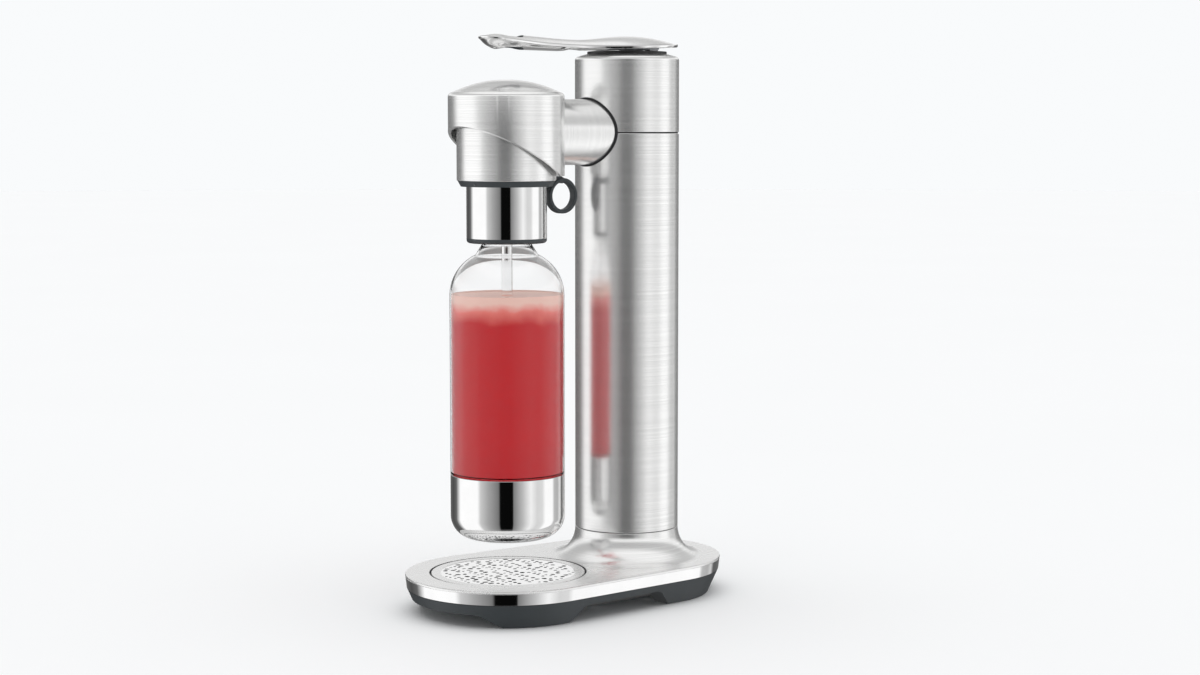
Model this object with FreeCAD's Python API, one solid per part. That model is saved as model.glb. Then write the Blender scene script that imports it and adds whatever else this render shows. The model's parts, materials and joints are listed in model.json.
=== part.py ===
"""A lever-operated countertop soda carbonator, built as its separate pieces.

The bottle and head stand in front (-Y), the gas column behind (+Y), and +Z is up. The origin is on the
floor, at the middle of the footprint. Lengths are in millimetres.
"""

import FreeCAD, Part
import math
import os

# ---- driving dimensions -------------------------------------------------------------------------
AXIS_GAP = 115.0          # from the column's axis to the head's axis
BASE_FRONT_R = 77.0       # the footprint's front round, about the head's axis
BASE_REAR_R = 73.0        # its rear round, about the column's axis
COLUMN_Y = (AXIS_GAP + BASE_FRONT_R - BASE_REAR_R) / 2
HEAD_Y = COLUMN_Y - AXIS_GAP

BASE_TOP = 28.5           # top of the base plate
BASE_PLATE = 1.5
BAND_BOTTOM = 18.0        # lower edge of the polished band
BAND_DRAFT = 1.0
FOOT_INSET = 9.0          # how far the feet stand inside the footprint
FOOT_Z = 0.4              # the rubber pads reach this much lower than the feet
DISH = ((26.0, 5.0), (10.0, 13.0))  # inset and height of the pan's floor, and of its rim
FLOOR_Z = DISH[0][1]      # underside of the base pan
FLOOR_T = 2.4
PLATE_T = 2.5
PLATE_TOP = FLOOR_Z + FLOOR_T + PLATE_T
FLARE = (20.0, 22.5)      # reach and height of the sweep from the base plate into the column

COLUMN_R = 40.0
SHEET = 1.2               # steel sheet of the column and head
COLUMN_FOOT = 51.0
SEAM_Z = 357.0            # joint between the column and its top housing
SEAM_GAP = 1.0
HOUSING_TOP = 414.7
REAR_COVER_HALF = 52.0    # half angle of the removable rear cover

ARM_R = 24.75
ARM_WALL = 1.6
ARM_Z = 357.0
GASKET = 1.5

HEAD_R = 43.0
HEAD_WALL = 2.2
HEAD_EDGE = 386.3
HEAD_APEX = 395.5
HEAD_CUT_MID = 337.5      # height of the slanted lower edge, on the head's axis
HEAD_CUT_SLOPE = 0.5465   # how fast that edge climbs towards the front
HEAD_BOTTOM = 324.6       # where the slanted edge levels out at the rear

CAP_R = 36.8
CAP_BOTTOM = 321.3
CAP_TOP = 363.0
CAP_RING_BOTTOM = 317.0
COLLAR_R = 29.8
COLLAR_BOTTOM = 278.8
COLLAR_FOOT = 275.3

BOTTLE_R = 42.7
BOTTLE_WALL = 1.1
BOTTLE_BOTTOM = 55.0      # underside of the steel cup
BOTTLE_SHOULDER = 236.0   # where the wall starts to close in
SHOULDER_R = 33.8
SHOULDER_TURN = 65.0      # how far the shoulder's arc turns, in degrees
NECK_R = 18.2
NECK_BASE = 274.0
NECK_TOP = 304.0
CUP_TOP = 103.2
CUP_CORNER = 17.0
CUP_WALL = 0.9

TRAY_R = 58.2
GRILLE_T = 2.0
PIPE_R = 4.25
PIPE_END = 237.0

CANISTER_R = 29.5
CANISTER_FOOT = 17.0
CANISTER_BODY_TOP = 288.0
CANISTER_NECK_R = 12.0
CANISTER_NECK_Z = 340.0
CANISTER_TOP = 350.0
VALVE_SEAT = 363.0        # top of the valve's hexagon
THREAD_R = 10.2
THREAD_TOP = 378.0
RUNNING = 0.05            # radial clearance of a running fit
CLEAR = 0.35              # gap between neighbouring bodies that move

LEVER_R = 39.0
LEVER_RIM = 419.3
LEVER_APEX = 430.0
LEVER_TIP_Y = -124.0      # centre of the handle's round tip, from the column's axis
LEVER_TIP_R = 13.0
LEVER_WAIST = 11.0
PIVOT_Y = 17.0            # the lever's pin, behind the column's axis
PIVOT_Z = 409.0
PIVOT_R = 2.5
FINGER_HOLE_Y = -112.0
FINGER_HOLE = (7.0, 4.5)  # half width and half straight length of the finger hole

V = FreeCAD.Vector
UP = V(0, 0, 1)


# ---- shape helpers ------------------------------------------------------------------------------
def disc(r, z0, z1, y=0.0, x=0.0):
    """An upright cylinder between two heights."""
    return Part.makeCylinder(r, z1 - z0, V(x, y, z0))


def ring(r_out, r_in, z0, z1, y=0.0, x=0.0):
    """An upright tube between two heights."""
    return disc(r_out, z0, z1, y, x).cut(disc(r_in, z0 - 1, z1 + 1, y, x))


def rod(r, start, end):
    """A round bar between two points."""
    start, end = V(*start), V(*end)
    return Part.makeCylinder(r, (end - start).Length, start, end - start)


def box(x0, x1, y0, y1, z0, z1):
    return Part.makeBox(x1 - x0, y1 - y0, z1 - z0, V(x0, y0, z0))


def profile(points, arcs=()):
    """A closed face in the XZ plane. arcs maps a side's index to the point that its arc passes through."""
    arcs = dict(arcs)
    edges = []
    for i, (r, z) in enumerate(points):
        a, b = V(r, 0, z), V(points[(i + 1) % len(points)][0], 0, points[(i + 1) % len(points)][1])
        if i in arcs:
            m = V(arcs[i][0], 0, arcs[i][1])
            edges.append(Part.Arc(a, m, b).toShape())
        else:
            edges.append(Part.makeLine(a, b))
    return Part.Face(Part.Wire(edges))


def turned(points, y=0.0, arcs=()):
    """A solid of revolution about an upright axis, from its half section."""
    shape = profile(points, arcs).revolve(V(0, 0, 0), UP, 360)
    shape.translate(V(0, y, 0))
    return shape


def arc_mid(centre, r, angle):
    """A point on a section's arc, by its angle from the outward direction."""
    a = math.radians(angle)
    return centre[0] + r * math.cos(a), centre[1] + r * math.sin(a)


def polar(r, angle, y=0.0):
    """A point at an angle from the rear (+Y), turning towards +X."""
    a = math.radians(angle)
    return r * math.sin(a), y + r * math.cos(a)


def wedge(half, z0, z1, y, reach=90.0):
    """An upright wedge about the rear direction, to cut a sector with."""
    steps = 8
    ring_points = [V(*polar(reach, -half + 2 * half * i / steps, y), z0) for i in range(steps + 1)]
    points = [V(0, y, z0)] + ring_points
    return Part.Face(Part.makePolygon(points + points[:1])).extrude(V(0, 0, z1 - z0))


def footprint(inset, z):
    """The base's outline: two rounds and the lines that touch both."""
    front, rear = BASE_FRONT_R - inset, BASE_REAR_R - inset
    lean = math.asin((front - rear) / AXIS_GAP)
    c, s = math.cos(lean), math.sin(lean)
    a = V(front * c, HEAD_Y + front * s, z)
    b = V(rear * c, COLUMN_Y + rear * s, z)
    d, e = V(-b.x, b.y, z), V(-a.x, a.y, z)
    edges = [
        Part.makeLine(a, b),
        Part.Arc(b, V(0, COLUMN_Y + rear, z), d).toShape(),
        Part.makeLine(d, e),
        Part.Arc(e, V(0, HEAD_Y - front, z), a).toShape(),
    ]
    return Part.Wire(edges)


def slab(inset, z0, z1):
    """The footprint as an upright slab."""
    return Part.Face(footprint(inset, z0)).extrude(V(0, 0, z1 - z0))


def tapered(inset0, z0, inset1, z1):
    """The footprint as a slab with leaning sides."""
    return Part.makeLoft([footprint(inset0, z0), footprint(inset1, z1)], True, True)


def torus(r, tube, z, y):
    return Part.makeTorus(r, tube, V(0, y, z), UP)


def group(shapes):
    return Part.makeCompound(shapes)


def fused(shapes):
    first, rest = shapes[0], shapes[1:]
    return first.fuse(rest).removeSplitter()


# ---- base ---------------------------------------------------------------------------------------
def quarter(centre, reach, rise):
    """A quarter of an ellipse in the XZ plane, from beside its centre to below it."""
    side, low = V(centre[0] - reach, 0, centre[1]), V(centre[0], 0, centre[1] - rise)
    middle = V(centre[0], 0, centre[1])
    oval = Part.Ellipse(low, side, middle) if rise > reach else Part.Ellipse(side, low, middle)
    return Part.ArcOfEllipse(oval, 0, math.pi / 2).toShape()


def flare():
    """The swept foot of the column, as a thin wall."""
    wall, (reach, rise) = BASE_PLATE, FLARE
    centre = (COLUMN_R + reach, BASE_TOP + rise)
    top_in, top_out = V(COLUMN_R - wall, 0, centre[1]), V(COLUMN_R, 0, centre[1])
    foot_out, foot_in = V(centre[0], 0, BASE_TOP), V(centre[0], 0, BASE_TOP - wall)
    edges = [
        Part.makeLine(top_in, top_out),
        quarter(centre, reach, rise),
        Part.makeLine(foot_out, foot_in),
        quarter(centre, reach + wall, rise + wall),
    ]
    shape = Part.Face(Part.Wire(Part.__sortEdges__(edges))).revolve(V(0, 0, 0), UP, 360)
    shape.translate(V(0, COLUMN_Y, 0))
    return shape


def base_cover():
    """The brushed top plate, swept up into the column's foot."""
    z, chamfer = BASE_TOP - BASE_PLATE, 0.8
    plate = slab(0, z, BASE_TOP - chamfer).fuse(tapered(0, BASE_TOP - chamfer, chamfer, BASE_TOP))
    plate = plate.cut(disc(COLUMN_R + FLARE[0] - 0.01, z - 1, BASE_TOP + 1, COLUMN_Y))
    return fused([plate, flare()]).cut(disc(TRAY_R + 0.9, z - 5, BASE_TOP + 9, HEAD_Y))


def base_band():
    """The polished band round the edge, drawn in a little towards its foot."""
    top = BASE_TOP - BASE_PLATE
    return tapered(BAND_DRAFT, BAND_BOTTOM, 0, top).cut(slab(3.4, BAND_BOTTOM - 1, top + 1))


def arch(half, top, corner=8.0):
    """The space between two feet, along Y, with leaning ends and rounded upper corners."""
    low, reach = -1.0, 120.0
    half_top = half - (top - low)
    points = [V(-half, 0, low), V(half, 0, low), V(half_top, 0, top), V(-half_top, 0, top)]
    block = Part.Face(Part.makePolygon(points + points[:1])).extrude(V(0, reach, 0))
    upper = [e for e in block.Edges if e.BoundBox.ZMin > top - 0.1 and e.BoundBox.YLength > 1]
    return block.makeFillet(corner, upper)


def pan_dish(wall=0.0):
    """The lower dish of the pan, or the space inside it."""
    (floor_inset, floor_z), (rim_inset, rim_z) = DISH
    dish = tapered(floor_inset + wall, floor_z + wall, rim_inset + wall, rim_z + wall)
    return dish.fuse(slab(rim_inset + wall, rim_z + wall, BAND_BOTTOM))


def under_base():
    """The moulded pan below, with its four feet and the arches between them."""
    lean = (FOOT_INSET - BAND_DRAFT) / BAND_BOTTOM
    body = tapered(FOOT_INSET, FOOT_Z, BAND_DRAFT + lean * FOOT_Z, BAND_BOTTOM)
    body = body.fuse(slab(3.6, BAND_BOTTOM, BASE_TOP - BASE_PLATE))
    body = body.cut(slab(DISH[0][0], -1, FLOOR_Z))
    front = arch(54.0, 10.0)
    front.translate(V(0, HEAD_Y - 130, 0))
    rear = arch(46.0, 10.0)
    rear.translate(V(0, COLUMN_Y + 20, 0))
    sides = [arch(50.2, 13.0), arch(50.2, 13.0)]
    for side, angle in zip(sides, (90, -90)):
        side.rotate(V(0, 0, 0), UP, angle)
        side.translate(V(0, COLUMN_Y - 60.2, 0))
    dish = pan_dish()
    for space in [front, rear] + sides:
        body = body.cut(space.cut(dish))
    body = body.cut(pan_dish(FLOOR_T)).cut(slab(6.4, DISH[1][1] + FLOOR_T, BASE_TOP)).cut(foot_pads())
    screws = [disc(SCREW_R, FLOOR_Z - 1, BASE_TOP, y, x) for x, y in screw_spots()]
    heads = [disc(SCREW_HEAD + 0.1, FLOOR_Z - 1, FLOOR_Z + 1.2, y, x) for x, y in screw_spots()]
    return body.cut(group(screws)).cut(group(heads))


def foot_spots():
    front = [(s * 51.5, HEAD_Y - 20.0) for s in (-1, 1)]
    return front + [(s * 48.0, COLUMN_Y + 18.0) for s in (-1, 1)]


def foot_pads():
    return group([disc(6.5, 0, 2.4, y, x) for x, y in foot_spots()])


SCREW_R = 1.9
SCREW_HEAD = 3.6


def screw_spots():
    return [(s * 40.0, y) for s in (-1, 1) for y in (COLUMN_Y - 12.0, COLUMN_Y - 62.0)]


def base_plate():
    """The steel plate inside the base that everything stands on."""
    z = FLOOR_Z + FLOOR_T
    plate = slab(DISH[0][0] + FLOOR_T + 0.6, z, z + PLATE_T)
    for x, y in screw_spots():
        plate = plate.cut(disc(SCREW_R, z - 1, z + 4, y, x))
    return plate


def base_screws():
    """Screws with sunk heads that hold the pan to the plate."""
    shapes = []
    for x, y in screw_spots():
        head = disc(SCREW_HEAD, FLOOR_Z, FLOOR_Z + 1.2, y, x)
        head = head.cut(box(x - 3.0, x + 3.0, y - 0.4, y + 0.4, FLOOR_Z - 1.0, FLOOR_Z + 0.7))
        shapes.append(fused([head, disc(SCREW_R, FLOOR_Z + 1.0, PLATE_TOP, y, x)]))
    return group(shapes)


# ---- drip tray ----------------------------------------------------------------------------------
TRAY_FLOOR = PLATE_TOP + 0.4
TRAY_STEP = (8.0, 9.0)    # reach and height of the tray's leaning foot


def drip_tray():
    """A shallow round pan that catches spills, drawn in at its foot to clear the base pan."""
    wall, r, top = 1.6, TRAY_R - 1.0, BASE_TOP - GRILLE_T
    reach, rise = TRAY_STEP
    outer = [(0, TRAY_FLOOR), (r - reach, TRAY_FLOOR), (r, TRAY_FLOOR + rise), (r, top), (0, top)]
    inner = [
        (0, TRAY_FLOOR + wall),
        (r - reach - wall, TRAY_FLOOR + wall),
        (r - wall, TRAY_FLOOR + rise + wall),
        (r - wall, top + 1),
        (0, top + 1),
    ]
    return turned(outer, HEAD_Y).cut(turned(inner, HEAD_Y))


def grille_holes():
    """Drain holes of several sizes, spread on a sunflower spiral, clear of the rim."""
    golden = math.pi * (3 - math.sqrt(5))
    sizes = (2.3, 1.2, 1.75, 0.9, 2.0, 1.4)
    count, reach = 170, TRAY_R - 7.5
    holes = []
    for i in range(count):
        r = reach * math.sqrt((i + 0.5) / count)
        a = i * golden
        size = sizes[(i * 5 + i // 7) % len(sizes)]
        wobble = 0.5 * math.sin(i * 2.3)
        holes.append((r * math.cos(a) + wobble, r * math.sin(a) - wobble, size))
    return holes


def drip_grille():
    """The polished disc with its drain holes."""
    z = BASE_TOP - GRILLE_T
    plate = disc(TRAY_R - 0.6, z, BASE_TOP, HEAD_Y)
    cuts = [disc(size, z - 1, BASE_TOP + 1, HEAD_Y + dy, dx) for dx, dy, size in grille_holes()]
    return plate.cut(group(cuts))


def tray_seal():
    """The dark ring that lines the opening round the grille."""
    return ring(TRAY_R + 0.85, TRAY_R - 0.2, BASE_TOP - BASE_PLATE - 2.0, BASE_TOP - 0.3, HEAD_Y)


# ---- column -------------------------------------------------------------------------------------
def seam_gasket():
    """The black gasket in the joint between the column and its top housing."""
    gasket = ring(COLUMN_R - 0.6, COLUMN_R - SHEET, SEAM_Z - SEAM_GAP, SEAM_Z, COLUMN_Y)
    return gasket.cut(arm_hole(ARM_R + GASKET))


def arm_hole(r):
    return rod(r, (0, COLUMN_Y - 20, ARM_Z), (0, COLUMN_Y - 60, ARM_Z))


def column_shell():
    """The brushed front wall of the column, open at the rear for the cover."""
    tube = ring(COLUMN_R, COLUMN_R - SHEET, COLUMN_FOOT, SEAM_Z - SEAM_GAP, COLUMN_Y)
    tube = tube.cut(wedge(REAR_COVER_HALF, COLUMN_FOOT - 1, SEAM_Z, COLUMN_Y))
    return tube.cut(arm_hole(ARM_R + GASKET))


def rear_cover():
    """The removable rear wall of the column, with a finger recess rib near its foot."""
    z0, z1 = COLUMN_FOOT + 0.4, SEAM_Z - SEAM_GAP - 0.4
    tube = ring(COLUMN_R, COLUMN_R - SHEET, z0, z1, COLUMN_Y)
    return tube.common(wedge(REAR_COVER_HALF - 0.4, z0 - 1, z1 + 1, COLUMN_Y))


def cover_clips():
    """Hooks inside the rear cover that snap on to the column's frame."""
    shapes = []
    y0 = COLUMN_Y + COLUMN_R - SHEET - 5.0
    for z in (90.0, 200.0, 310.0):
        block = box(-6, 6, y0, y0 + 5.5, z - 4, z + 4)
        shapes.append(block.common(disc(COLUMN_R - SHEET, z - 5, z + 5, COLUMN_Y)))
    return group(shapes)


FRAME_FOOT_T = 4.0


def column_frame():
    """The inner channel that carries the load and guides the canister."""
    z0, z1 = PLATE_TOP, SEAM_Z - 30.0
    r = COLUMN_R - BASE_PLATE - 0.1
    channel = ring(r, r - 4.0, z0, z1, COLUMN_Y)
    channel = channel.cut(wedge(REAR_COVER_HALF + 8, z0 - 1, z1 + 1, COLUMN_Y))
    foot = ring(r + 8.0, r - 4.0, z0, z0 + FRAME_FOOT_T, COLUMN_Y)
    return fused([channel, foot])


def canister_seat():
    """The moulded cup that the canister's foot stands in."""
    z = PLATE_TOP
    cup = disc(CANISTER_R + 3.4, z, z + 15.0, COLUMN_Y)
    return cup.cut(disc(CANISTER_R + CLEAR, CANISTER_FOOT - CLEAR, z + 16, COLUMN_Y))


def frame_screws():
    """Screws through the frame's foot into the base plate."""
    z = PLATE_TOP + FRAME_FOOT_T
    shapes = []
    for angle in (60, 120, 240, 300):
        x, y = polar(COLUMN_R + 2.2, angle, COLUMN_Y)
        shapes.append(disc(2.6, z, z + 1.8, y, x))
    return group(shapes)


# ---- top housing and gas valve ------------------------------------------------------------------
NECK_HOLE = 27.0


def top_housing():
    """The brushed shell on top of the column, closed by a shallow cone."""
    shoulder, top_r, wall = 3.0, 31.0, SHEET + 0.3
    z0, z1 = SEAM_Z, HOUSING_TOP
    cone_top = z1 + 1.6
    outer = [
        (0, z0),
        (COLUMN_R, z0),
        (COLUMN_R, z1 - shoulder),
        (COLUMN_R - shoulder, z1),
        (top_r, cone_top),
        (0, cone_top),
    ]
    bend = arc_mid((COLUMN_R - shoulder, z1 - shoulder), shoulder, 45)
    shell = turned(outer, COLUMN_Y, {2: bend})
    hollow = [
        (0, z0 - 1),
        (COLUMN_R - wall, z0 - 1),
        (COLUMN_R - wall, z1 - shoulder),
        (COLUMN_R - shoulder - wall, z1 - wall - 0.4),
        (NECK_HOLE, z1 - wall),
        (NECK_HOLE, cone_top + 1),
        (0, cone_top + 1),
    ]
    shell = shell.cut(turned(hollow, COLUMN_Y))
    return shell.cut(arm_hole(ARM_R + GASKET))


def neck_ring():
    """The black ring between the housing and the lever."""
    z = HOUSING_TOP + 1.6
    flange = ring(30.5, NECK_HOLE - 1.4, z, z + 1.9, COLUMN_Y)
    return fused([flange, ring(NECK_HOLE - 0.05, NECK_HOLE - 1.4, HOUSING_TOP - 6.0, z + 0.1, COLUMN_Y)])


VALVE_R = 20.0
VALVE_TOP = 392.0
SOCKET_TOP = THREAD_TOP + 2.6


def valve_block():
    """The brass block that the canister screws into, with its gas way out to the front."""
    z0, y = VALVE_SEAT + 0.6, COLUMN_Y
    block = disc(VALVE_R, z0, VALVE_TOP, y)
    block = block.cut(disc(THREAD_R + RUNNING, z0 - 1, SOCKET_TOP, y))
    block = block.cut(disc(PLUNGER_R + RUNNING, SOCKET_TOP - 1, VALVE_TOP + 1, y))
    block = block.cut(rod(2.5, (0, y - 14, GAS_Z), (0, y - VALVE_R - 1, GAS_Z)))
    block = block.cut(disc(1.4, GAS_Z, SOCKET_TOP + 4, y - 14))
    return block.cut(rod(1.4, (0, y, SOCKET_TOP + 4), (0, y - 15.4, SOCKET_TOP + 4)))


def valve_bracket():
    """The cast spider that holds the valve block in the housing."""
    z0, z1, r = 383.5, 389.0, COLUMN_R - SHEET - 0.5
    hub = ring(VALVE_R + 3.0, VALVE_R, z0, z1, COLUMN_Y)
    rim = ring(r, r - 3.0, z0, z1, COLUMN_Y)
    legs = []
    for angle in (45, 135, 225, 315):
        leg = box(-3, 3, VALVE_R + 1, r - 1, z0, z1)
        leg.rotate(V(0, 0, 0), UP, angle)
        leg.translate(V(0, COLUMN_Y, 0))
        legs.append(leg)
    return fused([hub, rim] + legs)


def valve_seal():
    """The washer that the canister's thread closes on."""
    return ring(THREAD_R - 0.6, 4.6, THREAD_TOP + 0.5, SOCKET_TOP, COLUMN_Y)


PLUNGER_R = 3.0
PLUNGER_TOP = 408.0
PIN_R = 1.5
PIN_TOP = THREAD_TOP + 1.0


def plunger():
    """The pin under the lever that opens the canister's valve."""
    stem = disc(PLUNGER_R, PIN_TOP + CLEAR, PLUNGER_TOP - 1.0, COLUMN_Y)
    return fused([stem, disc(7.5, PLUNGER_TOP - 2.5, PLUNGER_TOP, COLUMN_Y)])


def return_spring():
    """The coil spring that lifts the plunger and the lever."""
    z0, z1, wire, turns = VALVE_TOP + 0.7, PLUNGER_TOP - 3.2, 0.6, 5
    helix = Part.makeHelix((z1 - z0) / turns, z1 - z0, 5.2)
    start = V(5.2, 0, 0)
    circle = Part.Wire([Part.makeCircle(wire, start, V(0, 1, 0))])
    spring = Part.Wire(helix.Edges).makePipeShell([circle], True, True)
    spring.translate(V(0, COLUMN_Y, z0))
    return spring


def relief_valve():
    """The safety valve on the side of the block."""
    x = VALVE_R - 0.5
    body = rod(4.0, (x, COLUMN_Y, 372), (x + 6, COLUMN_Y, 372))
    body = fused([body, rod(2.6, (x + 5, COLUMN_Y, 372), (x + 11, COLUMN_Y, 372))])
    return body.cut(disc(VALVE_R, 360, 390, COLUMN_Y))


# ---- canister -----------------------------------------------------------------------------------
def canister_body():
    """The aluminium gas cylinder, hollow, with its shoulder and neck."""
    r, foot, top = CANISTER_R, CANISTER_FOOT, CANISTER_TOP
    outer = [
        (0, foot),
        (r - 4, foot),
        (r, foot + 4),
        (r, CANISTER_BODY_TOP),
        (CANISTER_NECK_R + 6, CANISTER_NECK_Z - 17),
        (CANISTER_NECK_R, CANISTER_NECK_Z),
        (CANISTER_NECK_R, top),
        (0, top),
    ]
    arcs = {
        1: arc_mid((r - 4, foot + 4), 4, -45),
        3: (r - 3.0, CANISTER_BODY_TOP + 20),
        4: (CANISTER_NECK_R + 2.0, CANISTER_NECK_Z - 10),
    }
    wall = 2.6
    inner = [
        (0, foot + 4),
        (r - 6, foot + 4),
        (r - wall, foot + 8),
        (r - wall, CANISTER_BODY_TOP - 1),
        (CANISTER_NECK_R - 2, CANISTER_NECK_Z - 19),
        (7.0, CANISTER_NECK_Z),
        (7.0, top + 1),
        (0, top + 1),
    ]
    return turned(outer, COLUMN_Y, arcs).cut(turned(inner, COLUMN_Y))


def canister_label():
    """A plain printed sleeve round the canister."""
    return ring(CANISTER_R + 0.2, CANISTER_R, CANISTER_FOOT + 6, CANISTER_BODY_TOP - 2, COLUMN_Y)


def hexagon(across, z0, z1, y):
    corners = [arc_mid((0, y), across / math.sqrt(3), 30 + 60 * i) for i in range(6)]
    points = [V(a, b, z0) for a, b in corners]
    return Part.Face(Part.makePolygon(points + points[:1])).extrude(V(0, 0, z1 - z0))


def canister_valve():
    """The brass valve: a stem in the neck, a hexagon and the thread above it."""
    y = COLUMN_Y
    body = fused(
        [
            disc(6.9, CANISTER_TOP - 20, CANISTER_TOP + 0.5, y),
            hexagon(25.0, CANISTER_TOP, VALVE_SEAT - 3.0, y),
            disc(11.2, VALVE_SEAT - 3.1, VALVE_SEAT, y),
            disc(THREAD_R - 1.0, VALVE_SEAT - 0.1, THREAD_TOP, y),
        ]
    )
    for i in range(4):
        z = VALVE_SEAT + 2.0 + 3.4 * i
        collar = [(THREAD_R - 1.2, z), (THREAD_R, z + 0.9), (THREAD_R, z + 1.6), (THREAD_R - 1.2, z + 2.5)]
        body = body.fuse(turned(collar, y))
    body = body.removeSplitter().cut(disc(PIN_R + RUNNING, THREAD_TOP - 12.0, THREAD_TOP + 1, y))
    return body


def burst_nut():
    """The small side fitting that vents an overfilled canister."""
    z = (CANISTER_TOP + VALVE_SEAT - 3.0) / 2
    nut = rod(3.2, (12.5, COLUMN_Y, z), (16.5, COLUMN_Y, z))
    return fused([nut, rod(1.6, (16, COLUMN_Y, z), (18.0, COLUMN_Y, z))])


def valve_pin():
    """The pin in the canister's valve that the plunger pushes."""
    return disc(PIN_R, THREAD_TOP - 9.0, PIN_TOP, COLUMN_Y)


# ---- arm ----------------------------------------------------------------------------------------
ARM_REAR = COLUMN_Y - 30.5
GAS_Z = 371.0


def arm_tube():
    """The brushed tube from the column to the head."""
    front = HEAD_Y + 20
    tube = rod(ARM_R, (0, ARM_REAR, ARM_Z), (0, front, ARM_Z))
    tube = tube.cut(rod(ARM_R - ARM_WALL, (0, ARM_REAR + 1, ARM_Z), (0, front - 1, ARM_Z)))
    return tube.cut(disc(HEAD_R + 0.02, ARM_Z - 40, ARM_Z + 60, HEAD_Y))


def arm_core():
    """The cast tube inside the arm that carries the head."""
    front = HEAD_Y + HEAD_R - HEAD_WALL - 3.0
    r = ARM_R - ARM_WALL - 0.05
    core = rod(r, (0, ARM_REAR, ARM_Z), (0, front, ARM_Z))
    core = core.cut(rod(r - 5.0, (0, ARM_REAR + 1, ARM_Z), (0, front - 1, ARM_Z)))
    return core.cut(disc(HEAD_R + 0.1, ARM_Z - 40, ARM_Z + 40, HEAD_Y))


def arm_gasket():
    """The dark ring that seals the arm where it enters the column."""
    sleeve = rod(ARM_R + GASKET - 0.05, (0, COLUMN_Y - 20, ARM_Z), (0, COLUMN_Y - 60, ARM_Z))
    sleeve = sleeve.cut(rod(ARM_R + 0.02, (0, COLUMN_Y - 19, ARM_Z), (0, COLUMN_Y - 61, ARM_Z)))
    skin = ring(COLUMN_R + 0.6, COLUMN_R - SHEET, ARM_Z - 40, ARM_Z + 40, COLUMN_Y)
    return sleeve.common(skin)


def gas_tube():
    """The metal tube that takes the gas from the valve block to the head."""
    start, end = (0, COLUMN_Y - 14, GAS_Z), (0, HEAD_Y + 28, GAS_Z)
    tube = rod(2.5, start, end)
    return tube.cut(rod(1.4, (0, start[1] + 1, GAS_Z), (0, end[1] - 1, GAS_Z)))


# ---- head ---------------------------------------------------------------------------------------
def crown_point(reach, rise, share):
    """A point on a shallow round crown, at a share of its reach: its radius and its height."""
    ball = (reach * reach + rise * rise) / (2 * rise)
    r = reach * share
    return r, rise - ball + math.sqrt(ball * ball - r * r)


def head_blank(r, edge, apex, corner, z0):
    """A domed cylinder with a round upper edge."""
    points = [(0, z0), (r, z0), (r, edge - corner), (r - corner, edge), (0, apex)]
    crown_r, crown_z = crown_point(r - corner, apex - edge, 0.5)
    arcs = {2: arc_mid((r - corner, edge - corner), corner, 45), 3: (crown_r, edge + crown_z)}
    return turned(points, HEAD_Y, arcs)


def below_slant(z_mid):
    """Everything under the slanted lower edge of the head's cover."""
    reach = 60.0
    rise = HEAD_CUT_SLOPE * reach
    level_y = (z_mid - HEAD_BOTTOM) / HEAD_CUT_SLOPE
    points = [
        V(-reach, -reach, z_mid + rise),
        V(-reach, level_y, HEAD_BOTTOM),
        V(-reach, reach, HEAD_BOTTOM),
        V(-reach, reach, 200),
        V(-reach, -reach, 200),
    ]
    shape = Part.Face(Part.makePolygon(points + points[:1])).extrude(V(2 * reach, 0, 0))
    shape.translate(V(0, HEAD_Y, 0))
    return shape


def head_cover():
    """The brushed outer cover, cut on a slant that climbs towards the front."""
    shell = head_blank(HEAD_R, HEAD_EDGE, HEAD_APEX, 3.5, 310)
    hollow = head_blank(HEAD_R - HEAD_WALL, HEAD_EDGE - 2.0, HEAD_APEX - 2.2, 3.0, 300)
    shell = shell.cut(hollow).cut(below_slant(HEAD_CUT_MID))
    return shell.cut(rod(ARM_R - ARM_WALL - 4.0, (0, HEAD_Y + 20, ARM_Z), (0, HEAD_Y + 60, ARM_Z)))


DOCK_BOTTOM = 366.0
DOCK_TOP = 381.0
PORT_R = 7.0


def head_dock():
    """The moulded dock inside the cover that the bottle's cap plugs into."""
    r = HEAD_R - HEAD_WALL - 0.3
    body = disc(r, DOCK_BOTTOM, DOCK_TOP, HEAD_Y)
    port = disc(PORT_R, DOCK_BOTTOM - 8.0, DOCK_BOTTOM + 1, HEAD_Y)
    body = fused([body, port])
    body = body.cut(disc(1.6, DOCK_BOTTOM - 9, DOCK_BOTTOM + 10, HEAD_Y))
    body = body.cut(rod(2.6, (0, HEAD_Y + 60, GAS_Z), (0, HEAD_Y - 2, GAS_Z)))
    for x, y in dock_screw_spots():
        body = body.cut(disc(1.6, DOCK_TOP - 8, DOCK_TOP + 1, y, x))
    return body


def dock_seal():
    """The ring that seals the port in the cap."""
    return torus(PORT_R + 0.1, 1.2, DOCK_BOTTOM - 3.2, HEAD_Y).cut(
        disc(PORT_R, DOCK_BOTTOM - 9, DOCK_BOTTOM, HEAD_Y)
    )


def dock_screw_spots():
    return [polar(24.0, angle, HEAD_Y) for angle in (60, 180, 300)]


def dock_screws():
    shapes = []
    for x, y in dock_screw_spots():
        head = disc(3.0, DOCK_TOP, DOCK_TOP + 1.8, y, x)
        shapes.append(fused([head, disc(1.6, DOCK_TOP - 8, DOCK_TOP + 0.2, y, x)]))
    return group(shapes)


# ---- cap ----------------------------------------------------------------------------------------
def cap_shell():
    """The brushed wall of the cap."""
    return ring(CAP_R, CAP_R - 1.4, CAP_BOTTOM, CAP_TOP - 0.4, HEAD_Y)


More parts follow.
